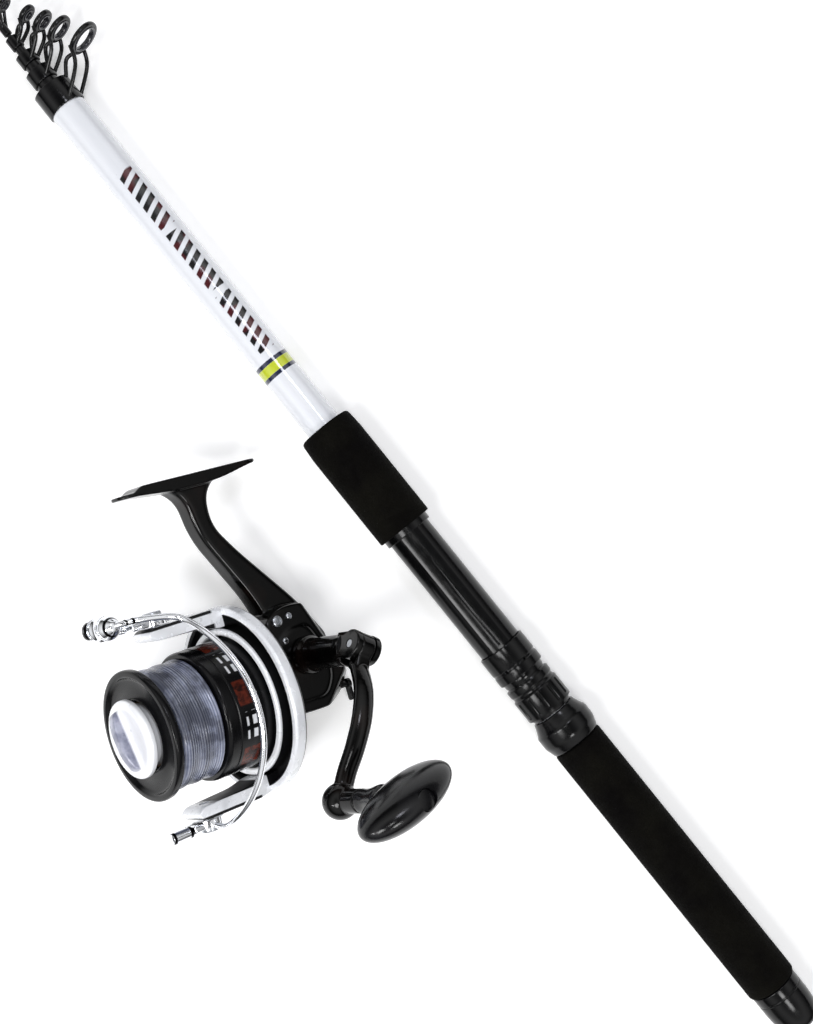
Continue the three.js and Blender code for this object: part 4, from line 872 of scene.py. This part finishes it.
# The foot's two ends along the reel and half its width, then the radii of the housing's room and holes.
FOOT_REAR, FOOT_FRONT, FOOT_HALF = -7.6, 61.3, 6.6
GEAR_ROOM_R, SHAFT_HOLE_R, PINION_HOLE_R = 15, 3.8, 3.6


def beyond(point, normal):
    """A block that fills the space beyond a plane, for trimming a piece along it."""
    bpy.ops.object.select_all(action="DESELECT")
    bpy.ops.mesh.primitive_cube_add(size=600, location=(0, 0, 0))
    block = shift(bpy.context.object, 0, 0, 300)
    block.data.transform(Vector(normal).to_track_quat("Z", "Y").to_matrix().to_4x4())
    return shift(block, *point)


def floor_cut():
    """The space under the floor, in the reel's own millimetres: nothing of the body goes through it."""
    back = REEL.inverted()
    spot = REEL.to_translation()
    return beyond(back @ Vector((spot.x, spot.y, 0)), back.to_3x3() @ Vector((0, 0, -1)))


def make_body():
    """The reel's casting: gear housing, stem and foot in one skin, its side cover and its screws."""
    outline = [(16.2, -13, 5), (16.2, 29, 8), (6, 33, 4), (-9, 32, 7), (-18.5, 19, 5), (-23, 4, 6),
               (-20.5, -11, 6), (-6, -14, 5)]
    body = plate("reel_casting", outline, PARTING_Y + 0.3, 13)
    # The back slants in towards the handle side, above and below the crank gear's room.
    combine(body, "DIFFERENCE", beyond((-3.8, 13, 33.5), (-1, 0.69, 0.413)),
            beyond((-17.9, 7.6, -7.1), (-1, 1.2, -1)))
    soften(body, 1.8, 4)
    panel = soften(plate("panel", [(13, -8, 3), (13, 18, 4), (5.5, 23, 3), (-4, 23, 4), (-9, 12, 5),
                                   (-10.5, -1, 4), (-5, -9, 4)], 10, 13.8), 0.8, 3)
    under = FOOT_Z - 4
    stem_line = [(9, 26), (13.4, 39.6, 16), (29.9, 70.2, 16), (32.2, 87, 6), (41.5, under), (13, under),
                 (21.3, 87, 6), (22.3, 74, 14), (14, 61.5, 20), (-10, 31.6, 16), (-20.5, 13, 8), (-12, 6)]
    stem = soften(plate("stem", stem_line, -5.2, 5.2, steps=8), 4.6, 8)
    rear, front, top = FOOT_REAR, FOOT_FRONT, FOOT_Z - 1.4
    side = plate("foot", [(rear, top), (front - 10, top, 2), (front - 6.5, FOOT_Z - 3.6, 1),
                          (front, FOOT_Z - 3.6, 0.6), (front, FOOT_Z - 5.2, 0.6), (front - 9, FOOT_Z - 5.4),
                          (front - 24, FOOT_Z - 6.8, 4), (15, FOOT_Z - 6.8, 8), (-2, FOOT_Z - 3.6, 6),
                          (rear, FOOT_Z - 3, 0.8)], -20, 20)
    plan = plate("plan", [(rear, -FOOT_HALF, 6), (front, -FOOT_HALF, 6), (front, FOOT_HALF, 6),
                          (rear, FOOT_HALF, 6)], FOOT_Z - 20, FOOT_Z + 20, across="z", steps=8)
    foot = soften(combine(side, "INTERSECT", plan), 0.5, 3)
    boss = turned("boss", [(10, 0), (10, 8.6), (13.9, 8.6, 0.8), (13.9, 0)], 64, "y", (0, 0, GEAR_Z))
    collar = turned("collar", [(10, 0), (10, 9.5), (17, 9.5, 0.6), (17, 0)], 64)
    combine(body, "UNION", panel, stem, foot, boss, collar)
    moulded(body, 0.5, 8, 0.6)
    combine(body, "DIFFERENCE", floor_cut())
    gear_room = turned("gear_room", [(-30, 0), (-30, GEAR_ROOM_R), (9.4, GEAR_ROOM_R), (9.4, 0)], 64, "y",
                       (0, 0, GEAR_Z))
    slide_room = plate("slide_room", [(-18, -4.4, 1), (9, -6.5, 2), (9, 14, 2), (-8, 14, 2), (-8, 8.6),
                                      (-18, 8.6, 1)], -30, 9.4)
    shaft_hole = turned("shaft_hole", [(8, 0), (8, SHAFT_HOLE_R), (20, SHAFT_HOLE_R), (20, 0)], 48, "y",
                        (0, 0, GEAR_Z))
    pinion_hole = turned("pinion_hole", [(5, 0), (5, PINION_HOLE_R), (20, PINION_HOLE_R), (20, 0)], 48)
    combine(body, "DIFFERENCE", gear_room, slide_room, shaft_hole, pinion_hole)
    finish(body, REEL, casting, "reel_body", ["gear_housing"], 40)
    cover_line = [(16.2, -13, 6), (16.2, 27, 9), (8, 33, 6), (-9, 31, 6), (-15, 20, 3), (-15, -6, 3),
                  (-8, -13.6, 5)]
    cover = soften(plate("side_cover_plate", cover_line, COVER_Y, PARTING_Y), 1.0, 3)
    nose = turned("nose", [(5, 0), (5, 9.8), (30, 9.8), (30, 0)], 64)
    hole = turned("hole", [(-30, 0), (-30, SHAFT_HOLE_R), (0, SHAFT_HOLE_R), (0, 0)], 48, "y",
                  (0, 0, GEAR_Z))
    combine(cover, "DIFFERENCE", floor_cut(), nose, hole)
    finish(cover, REEL, nylon, "reel_body", ["side_cover"])
    for i, (x, z) in enumerate(COVER_SCREWS, 1):
        screw = turned(f"cover_screw_head_{i}", [(COVER_Y - 0.9, 0), (COVER_Y - 0.9, 2.3, 0.5),
                                                 (COVER_Y - 0.15, 2.3), (COVER_Y - 0.15, 1.2), (-5, 1.2),
                                                 (-5, 0)], 32, "y", (x, 0, z))
        finish(screw, REEL, steel, "reel_body", [f"cover_screw_{i}"])
    for i, (x, z, wide, nodes) in enumerate(HOUSING_SCREWS, 1):
        head = turned(f"housing_screw_head_{i}", [(8, 0), (8, 1.2), (13.15, 1.2), (13.15, wide),
                                                  (13.8, wide, 0.3), (14.2, wide * 0.6, 0.2), (14.2, 0)],
                      48, "y", (x, 0, z))
        cross = [plate("cross", [(x - a, z - b), (x + a, z - b), (x + a, z + b), (x - a, z + b)], 13.6, 20)
                 for a, b in ((wide * 0.6, 0.3), (0.3, wide * 0.6))]
        finish(combine(head, "DIFFERENCE", *cross), REEL, steel, "reel_body", nodes)
    x, y, z = LEVER_AT
    lever = turned("anti_reverse_lever_pin", [(x - 3.3, 0), (x - 3.3, 2.2, 0.4), (x - 1.5, 2.2, 0.2),
                                              (x - 1.5, 1.3), (x + 3.5, 1.3), (x + 3.5, 0)], 48,
                   centre=(0, y, z))
    tab = plate("tab", [(y - 1.4, z), (y + 1.4, z), (y + 1.4, z - 7.6, 1.2), (y - 1.4, z - 7.6, 1.2)],
                x - 3.3, x - 1.5, across="x")
    finish(combine(lever, "UNION", soften(tab, 0.3)), REEL, nylon, "anti_reverse_lever",
           ["anti_reverse_lever"])
    cap = turned("shaft_cap_button", [(COVER_Y - 1.1, 0), (COVER_Y - 1.1, 5.4, 0.7), (COVER_Y - 0.15, 5.4),
                                      (COVER_Y - 0.15, 3.5), (-12.4, 3.5), (-12.4, 0)], 48, "y",
                 (0, 0, GEAR_Z))
    finish(cap, REEL, nylon, "reel_body", ["shaft_cap"])


# The rotor's cup, the room inside it and the inside of its ring, as radii, then half the width of an arm.
CUP_R, CUP_BORE, RING_BORE, ARM_HALF = 31.7, 28.6, 37.4, 7.5


def make_rotor():
    """The rotor: a cup with a wide outer ring, and two arms that carry the bail."""
    back = rotor_low.x
    cup = turned("rotor_shell", [(back, 3.35), (back, 14, 1), (back + 0.8, 24, 6), (21.5, 33, 3),
                                 (25, RING_R - 1, 1.6), (26.4, RING_R, 0.8), (30.2, RING_R, 0.5),
                                 (31, RING_R - 0.8, 0.3), (31, RING_BORE, 0.3),
                                 (30.2, RING_BORE - 0.8, 0.4), (27, RING_BORE - 1, 1), (25.4, 34.2, 0.8),
                                 (25.4, 32.4, 0.4), (26.2, CUP_R, 0.4), (32.4, CUP_R, 0.4),
                                 (33, CUP_R - 0.6, 0.3), (33, 29.4, 0.3), (32.4, CUP_BORE, 0.3),
                                 (21.6, CUP_BORE, 1), (20.8, 27, 1), (20.2, 14), (20.2, 3.35),
                                 (back, 3.35)], 160)
    arm_line = [(22.5, 31), (26, 37, 2), (34, ARM_TOP, 5), (63.5, ARM_TOP, 2), (67.5, ARM_TOP - 2.8, 2.5),
                (64, ARM_TOP - 5.6, 2), (42, ARM_TOP - 6.4, 3), (34, 32, 3), (29, 32)]
    arm = soften(plate("arm", arm_line, -ARM_HALF, ARM_HALF), 1.3, 4)
    other = turn(copy(arm, "arm_below"), 180, "X")
    holes = turned("holes", [(-60, 0), (-60, 2.3), (60, 2.3), (60, 0)], 48, "z", (PIVOT_X, 0, 0))
    inner = turned("inner", [(21, 0), (21.6, CUP_BORE), (80, CUP_BORE), (80, 0)], 160)
    combine(cup, "UNION", arm, other)
    combine(cup, "DIFFERENCE", holes, inner)
    finish(cup, REEL, rotor_silver, "rotor", ["rotor"])
    for name, s in (("bail_screw_upper", 1), ("bail_screw_lower", -1)):
        top = ARM_TOP + 0.6
        screw = turned(name + "_head", [(s * 37, 0), (s * 37, 2), (s * (top + 3.7), 2),
                                        (s * (top + 3.7), 4), (s * (top + 5.3), 4, 0.9),
                                        (s * (top + 5.3), 0)], 48, "z", (PIVOT_X, 0, 0))
        finish(screw, REEL, steel, "rotor", [name])


def make_spool():
    """The spool: lip, line, and a deep skirt over the rotor; and the drag knob in its nose."""
    rear, lip, r = SKIRT_REAR_X, LIP_X, SPOOL_R
    x1, x0 = pack_high.x + GAP, pack_low.x - 0.4
    spool = turned("spool_shell", [(57, 2), (lip - 9, 2), (lip - 9, 14.8), (lip - 1.4, 14.8, 0.3),
                                   (lip - 1, 15.6, 0.3), (lip - 1.8, 20, 2), (lip - 1.6, 23.5, 1),
                                   (lip, 24.6, 0.7), (lip - 0.2, r - 0.3, 0.8), (lip - 1.6, r, 0.8),
                                   (lip - 3.4, r - 0.2, 0.6), (x1 + 0.6, 24.6, 0.4), (x1, 17.5), (x0, 17.5),
                                   (x0 - 0.2, r - 0.8, 0.4), (x0 - 1.4, r, 0.6), (x0 - 5.2, r),
                                   (x0 - 5.5, r - 0.35, 0.2), (x0 - 6.1, r - 0.35, 0.2), (x0 - 6.4, r),
                                   (rear + 0.8, r, 0.4), (rear, r - 0.6, 0.3), (rear, r - 1.6),
                                   (x0 - 3, r - 1.6), (x0 - 2.4, 9), (57, 7), (57, 2)], 160)
    finish(spool, REEL, spool_finish, "spool", ["spool"])
    wound = [(pack_low.x, 17.8), (pack_low.x, pack_high.z - 0.7, 0.3)]
    # The line lies in slow swells across its width.
    length = pack_high.x - pack_low.x
    for i in range(1, 40):
        share = i / 40
        swell = 0.25 * math.cos(share * math.tau * 2.5) - 0.25
        wound.append((pack_low.x + length * share, pack_high.z + swell - 1.2 * max(0, share - 0.9) * 8))
    wound += [(pack_high.x, pack_high.z - 1.6, 0.3), (pack_high.x, 17.8), (pack_low.x, 17.8)]
    pack = turned("wound_line", wound, 160)
    finish(pack, REEL, line_finish, "spool", ["line_pack"], 60)
    k = KNOB_FACE_X
    knob = turned("drag_knob_cap", [(k + 3.6, 0), (k + 3.2, 9), (k + 3.6, 12.6, 1), (k + 3.6, 14.6, 0.8),
                                    (k + 2.6, 16.2, 0.6), (k + 0.6, 16.3, 0.5), (k, 15.4, 0.4),
                                    (k - 0.4, 13.2), (k - KNOB_NECK, 13), (k - KNOB_NECK, 2), (k + 0.6, 2),
                                    (k + 0.6, 0)], 128)
    fin = soften(plate("fin", [(k + 2.6, -13), (k + 6.5, -12.2, 3), (k + 8.6, -6, 5), (k + 8.6, 6, 5),
                               (k + 6.5, 12.2, 3), (k + 2.6, 13)], -2.3, 2.3, steps=8), 0.9, 4)
    combine(knob, "UNION", turn(fin, 16, "X"))
    finish(soften(knob, 0.25, 2, 50), REEL, knob_silver, "drag_knob", ["drag_knob"])


BAIL_WIRE_R = 1.3
# The bail's bow is drawn through these angles round the spool.
BOW_ANGLES = (62, 48, 33, 17, 0, -17, -33, -48, -63, -76)


def make_bail():
    """The bail: its arm and line roller above, the wire that bows round the spool, its lever below."""
    z, px, rx, rz = ARM_TOP + 0.6, PIVOT_X, ROLLER.x, ROLLER.z
    boss = turned("bail_arm_casting", [(z, 0), (z, 6.4), (z + 3.4, 6.4, 0.8), (z + 3.4, 0)], 64, "z",
                  (px, 0, 0))
    bar = soften(plate("bar", [(px, z), (px + 12.5, z, 1), (px + 12.5, z + 3, 1), (px, z + 3)], -5.3, 4.6),
                 0.6)
    cheek = soften(plate("cheek", [(px + 2, z), (px + 15, z, 2), (rx + 6.4, rz - 3, 3),
                                   (rx + 6.6, rz + 3, 3), (rx, rz + 5.6, 4), (rx - 5.6, rz + 3, 3),
                                   (px + 8, z + 3.4, 3), (px + 2, z + 3)], -5.3, -2.6, steps=8), 0.6)
    hole = turned("hole", [(-70, 0), (-70, 2.3), (70, 2.3), (70, 0)], 32, "z", (px, 0, 0))
    pin = turned("pin", [(-20, 0), (-20, 1.9), (20, 1.9), (20, 0)], 32, "y", (rx, 0, rz))
    combine(boss, "UNION", bar, cheek)
    combine(boss, "DIFFERENCE", copy(hole, "hole_copy"), pin)
    finish(boss, REEL, plated, "bail", ["bail_arm"])
    roller = turned("line_roller_drum", [(-2.3, 1.9), (-2.3, 5, 0.2), (-1.6, 5.2, 0.4), (0.2, 4.1, 1),
                                         (2.2, 4.1, 1), (4, 5.2, 0.4), (4.7, 5, 0.2), (4.7, 1.9),
                                         (-2.3, 1.9)], 64, "y", (rx, 0, rz))
    finish(roller, REEL, plated, "line_roller", ["line_roller"])
    screw = turned("roller_screw_head", [(-6.9, 0), (-6.9, 3.1, 0.8), (-5.6, 3.1), (-5.6, 1.6), (8.4, 1.6),
                                         (8.4, 0)], 48, "y", (rx, 0, rz))
    slot = plate("screw_slot", [(rx - 4, rz - 0.4), (rx + 4, rz - 0.4), (rx + 4, rz + 0.4),
                                (rx - 4, rz + 0.4)], -8, -6.3)
    finish(combine(screw, "DIFFERENCE", slot), REEL, steel, "bail", ["roller_screw"])
    cone = turned("bail_wire_bow", [(5, 0), (5, 4.9, 0.4), (6, 5, 0.4), (8.8, 3.4, 1), (10.6, 2, 0.5),
                                    (11, 0)], 48, "y", (rx, 0, rz))
    path = [(rx, 9, rz), (rx - 2.5, 12, rz + 0.4), (rx - 9, 15.5, rz), (px + 3, 18, 43.5)]
    for degrees in BOW_ANGLES:
        c, s = math.cos(math.radians(degrees)), math.sin(math.radians(degrees))
        path.append((px - 9 * c * c, 45 * c, 46 * s))
    path.append((px + 1, 3, -z - 1.7))
    wire = bent("wire", path, [BAIL_WIRE_R] * len(path), sides=24, smooth=8)
    below = turned("below", [(-z, 0), (-z, 6.4), (-z - 3.4, 6.4, 0.8), (-z - 3.4, 0)], 64, "z", (px, 0, 0))
    lever = soften(plate("lever", [(px - 2, -z - 3.2), (px + 9.5, -z - 3.2, 1), (px + 9.5, -z, 1),
                                   (px - 2, -z)], -4.2, 4.2), 0.6)
    stub = turned("stub", [(px + 8, 0), (px + 8, 2.4), (px + 18.4, 2.4, 0.5), (px + 19, 0)], 32,
                  centre=(0, 0, -z - 2.5))
    short_pin = turned("short_pin", [(-20, 0), (-20, 1.9), (8.7, 1.9), (8.7, 0)], 32, "y", (rx, 0, rz))
    combine(cone, "UNION", wire, below, lever, stub)
    combine(cone, "DIFFERENCE", hole, short_pin)
    finish(cone, REEL, plated, "bail", ["bail_wire"])


# Out from the reel's centre plane to the crank's hinge and arm, the arm's length, and the paddle's turn.
HINGE_Y, ARM_Y, CRANK, KNOB_TURN = 52, 58, 63, 140


def make_handle():
    """The folding crank: hub, knuckle, curved arm, ball end and the paddle knob."""
    hub = turned("handle_hub_tube", [(14.2, 3.5), (14.2, 8.2, 0.8), (17, 8.2, 0.6), (19, 6.7, 1.2),
                                     (41, 6.7, 2), (44, 7.4, 0.8), (45.2, 7.4, 0.4), (45.2, 0), (26, 0),
                                     (26, 3.5), (14.2, 3.5)], 96, "y")
    ears = []
    for s in (1, -1):
        eye = turned("eye", [(s * 3.6, 0), (s * 3.6, 6.2), (s * 6.2, 6.2, 0.8), (s * 6.2, 0)], 64, "x",
                     (0, HINGE_Y, 0))
        web = soften(plate("web", [(42.5, -5.5), (51.5, -5.5), (51.5, 5.5), (42.5, 5.5)], s * 3.6, s * 6.2,
                           across="x"), 0.5)
        ears += [eye, web]
    pin_hole = turned("pin_hole", [(-20, 0), (-20, 1.9), (20, 1.9), (20, 0)], 48, "x", (0, HINGE_Y, 0))
    combine(hub, "UNION", *ears)
    combine(hub, "DIFFERENCE", copy(pin_hole, "pin_hole_copy"))
    finish(hub, HANDLE, casting, "handle_drive", ["handle_hub"])
    pin = turned("fold_pin_shank", [(-7.4, 0), (-7.4, 3, 0.6), (-6.5, 3), (-6.5, 1.6), (6, 1.6), (6, 0)],
                 48, "x", (0, HINGE_Y, 0))
    finish(pin, HANDLE, steel, "handle_drive", ["fold_pin"])
    y, end = ARM_Y, -CRANK
    eye = turned("crank_arm", [(-3.3, 0), (-3.3, 6, 0.5), (3.3, 6, 0.5), (3.3, 0)], 64, "x",
                 (0, HINGE_Y, 0))
    root = soften(plate("root", [(HINGE_Y - 2, -9.7), (HINGE_Y + 4.4, -9.7), (HINGE_Y + 4.4, -0.7),
                                 (HINGE_Y - 2, -0.7)], -3.3, 3.3, across="x"), 0.8)
    path = [(0, HINGE_Y + 1, -8), (0, y + 1.6, -18), (0, y + 4.4, -30), (0, y + 3.6, -42),
            (0, y + 1.4, -52), (0, y + 1, end)]
    arm = bent("arm", path, [3.2, 3.4, 3.5, 3.4, 3.3, 3.3], sides=32)
    arm.data.transform(Matrix.Diagonal((1.28, 1, 1, 1)))
    joint_ball = ball("joint_ball", (7.3, 7.3, 7.3), (0, y + 1, end))
    neck = turned("neck", [(y, 0), (y, 4.8), (y + 15, 4.8, 0.5), (y + 15, 0)], 64, "y", (0, 0, end))
    combine(eye, "UNION", root, arm, joint_ball, neck)
    bore = turned("bore", [(y + 2, 0), (y + 2, 2.5), (y + 30, 2.5), (y + 30, 0)], 48, "y", (0, 0, end))
    moulded(eye, 0.35, 6, 0.6)
    combine(eye, "DIFFERENCE", pin_hole, bore)
    finish(eye, HANDLE, casting, "handle_arm", ["handle_arm"], 50)
    paddle = ball("paddle_knob", (8.4, 14.5, 23), (0, y + 42, 0))
    sleeve = turned("sleeve", [(y + 15.3, 0), (y + 15.3, 4.9, 0.5), (y + 20, 4.6, 3), (y + 31, 7, 3),
                               (y + 34, 0)], 64, "y")
    combine(paddle, "UNION", sleeve)
    moulded(paddle, 0.45, 8, 0.7)
    knob_bore = turned("knob_bore", [(y, 0), (y, 2.5), (y + 52, 2.5), (y + 52, 4.3), (y + 80, 4.3),
                                     (y + 80, 0)], 48, "y")
    combine(paddle, "DIFFERENCE", knob_bore)
    shift(turn(paddle, KNOB_TURN, "Y"), 0, 0, end)
    finish(paddle, HANDLE, thermoplastic, "handle_knob", ["handle_knob"], 50)
    post = turned("knob_pin_shank", [(y + 4, 0), (y + 4, 2.2), (y + 52.3, 2.2), (y + 52.3, 3.7),
                                     (y + 53.6, 3.7, 0.3), (y + 53.6, 0)], 48, "y", (0, 0, end))
    finish(post, HANDLE, steel, "handle_arm", ["knob_pin"])
    cap = turned("knob_end_cap", [(y + 54, 0), (y + 54, 4), (y + 54.8, 4, 0.4), (y + 55.3, 0)], 48, "y",
                 (0, 0, end))
    finish(cap, HANDLE, thermoplastic, "handle_knob", ["knob_cap"])


make_rod()
make_sections()
make_guides()
make_tip_top()
make_body()
make_rotor()
make_spool()
make_bail()
make_handle()

# ---- the pieces that the CAD already has right: they get their finishes ----
KEPT = {
    "bearing_cover_side": steel, "bearing_handle_side": steel, "bearing_pinion": steel,
    "crosshead_rail": steel, "crosshead": steel, "main_shaft": steel, "rotor_nut": steel,
    "drag_washer": steel, "drive_gear": brass, "pinion_gear": brass, "crank_gear": brass,
    "drag_felt_rear": felt, "drag_felt_front": felt,
}
for node, material in KEPT.items():
    mesh = frame["nodes"][node].data
    mesh.materials.clear()
    mesh.materials.append(material)

# ---- floor, light and camera ----
# The floor's width in metres, and how far out its own glow starts and is full.
FLOOR_SIZE, GLOW_FROM, GLOW_FULL = 6, 0.5, 2.0


def make_floor():
    """A matt white floor that takes the shadows. Its glow keeps it white beyond the lamps' reach."""
    bpy.ops.object.select_all(action="DESELECT")
    bpy.ops.mesh.primitive_grid_add(x_subdivisions=4, y_subdivisions=4, size=FLOOR_SIZE, location=(0, 0, 0))
    floor = bpy.context.object
    floor.name = "floor"
    material, tree = new_tree("pale_floor")
    rays = add_node(tree, "ShaderNodeLightPath")
    seen = math_node(tree, "MAXIMUM", rays.outputs["Is Camera Ray"],
                     math_node(tree, "MAXIMUM", rays.outputs["Is Glossy Ray"],
                               rays.outputs["Is Transmission Ray"]))
    grain = noise(tree, local(tree), 4)
    distance = add_node(tree, "ShaderNodeVectorMath", {"operation": "LENGTH"},
                        {0: local(tree)}).outputs["Value"]
    glow_strength = math_node(tree, "MULTIPLY", seen, ramp(tree, distance, GLOW_FROM, GLOW_FULL, 0.3, 1.0))
    matt = add_node(tree, "ShaderNodeBsdfDiffuse", None,
                    {"Color": mixed(tree, grain, "#f6f6f6", "#fafafa")})
    glow = add_node(tree, "ShaderNodeEmission", None, {"Strength": glow_strength})
    both = add_node(tree, "ShaderNodeAddShader", None, {0: matt.outputs[0], 1: glow.outputs[0]})
    add_node(tree, "ShaderNodeOutputMaterial", None, {"Surface": both.outputs[0]})
    floor.data.materials.append(material)


# The fill from all round. Gloss mirrors white walls instead, with a dim strip low down and a dim ceiling:
# for each, two heights and how bright the wall is at both.
WORLD_LIGHT, STRIP, CEILING = 0.3, (0.15, 0.6, 0.04, 1.0), (0.7, 0.95, 1.0, 0.12)
# Each lamp: its name, place and width in metres, watts and colour.
LAMPS = (
    ("key", (-0.05, 0.48, 1.0), 0.36, 5.6, "#ffffff"),
    ("top", (0, -0.06, 1.25), 0.18, 1.3, "#ffffff"),
    ("back", (0.33, -0.43, 0.93), 0.2, 1.7, "#f2f4ff"),
    ("left", (-0.58, -0.07, 0.92), 0.22, 2.4, "#ffffff"),
    ("sparkle", (0.1, 0.62, 0.62), 0.05, 1.0, "#ffffff"),
)


def make_light():
    """White walls that fill from all round, and five soft lamps for the shadows and the highlights."""
    world = bpy.data.worlds.new("studio")
    bpy.context.scene.world = world
    world.use_nodes = True
    tree = world.node_tree
    tree.nodes.clear()
    rays = add_node(tree, "ShaderNodeLightPath")
    clear = math_node(tree, "MAXIMUM", rays.outputs["Is Camera Ray"], rays.outputs["Is Transmission Ray"])
    height = add_node(tree, "ShaderNodeSeparateXYZ", None,
                      {0: add_node(tree, "ShaderNodeTexCoord").outputs["Generated"]}).outputs["Z"]
    walls = math_node(tree, "MULTIPLY", ramp(tree, height, *STRIP), ramp(tree, height, *CEILING))
    mirrored = math_node(tree, "MULTIPLY", rays.outputs["Is Glossy Ray"], walls)
    plain = math_node(tree, "MULTIPLY_ADD", rays.outputs["Is Glossy Ray"], -WORLD_LIGHT, WORLD_LIGHT)
    strength = math_node(tree, "MAXIMUM", clear, math_node(tree, "ADD", mirrored, plain))
    sky = add_node(tree, "ShaderNodeBackground", None, {"Color": (1, 1, 1, 1), "Strength": strength})
    add_node(tree, "ShaderNodeOutputWorld", None, {"Surface": sky.outputs[0]})
    for name, place, size, watts, colour in LAMPS:
        bpy.ops.object.light_add(type="AREA", location=place)
        lamp = bpy.context.object
        lamp.name = name
        lamp.data.size = size
        lamp.data.energy = watts
        lamp.data.color = linear(colour)[:3]
        lamp.rotation_euler = (-Vector(place)).to_track_quat("-Z", "Y").to_euler()


# The camera's place in metres, its lens in millimetres and the floor direction that is up in its picture.
CAMERA_HEIGHT = 0.70255
CAMERA_AT = (-0.0007, -0.0652)
CAMERA_LENS = 56.25
PICTURE_UP = Vector((0.77886, -0.62722, 0)).normalized()


def make_camera():
    """Straight down over the pair, the rod running from lower right to upper left."""
    bpy.ops.object.camera_add(location=(*CAMERA_AT, CAMERA_HEIGHT))
    camera = bpy.context.object
    camera.data.sensor_fit = "VERTICAL"
    camera.data.sensor_height = 36
    camera.data.lens = CAMERA_LENS
    right = PICTURE_UP.cross(Vector((0, 0, 1)))
    camera.rotation_euler = Matrix((right, PICTURE_UP, (0, 0, 1))).transposed().to_euler()
    bpy.context.scene.camera = camera


make_floor()
make_light()
make_camera()
bpy.context.scene.view_settings.view_transform = "Standard"
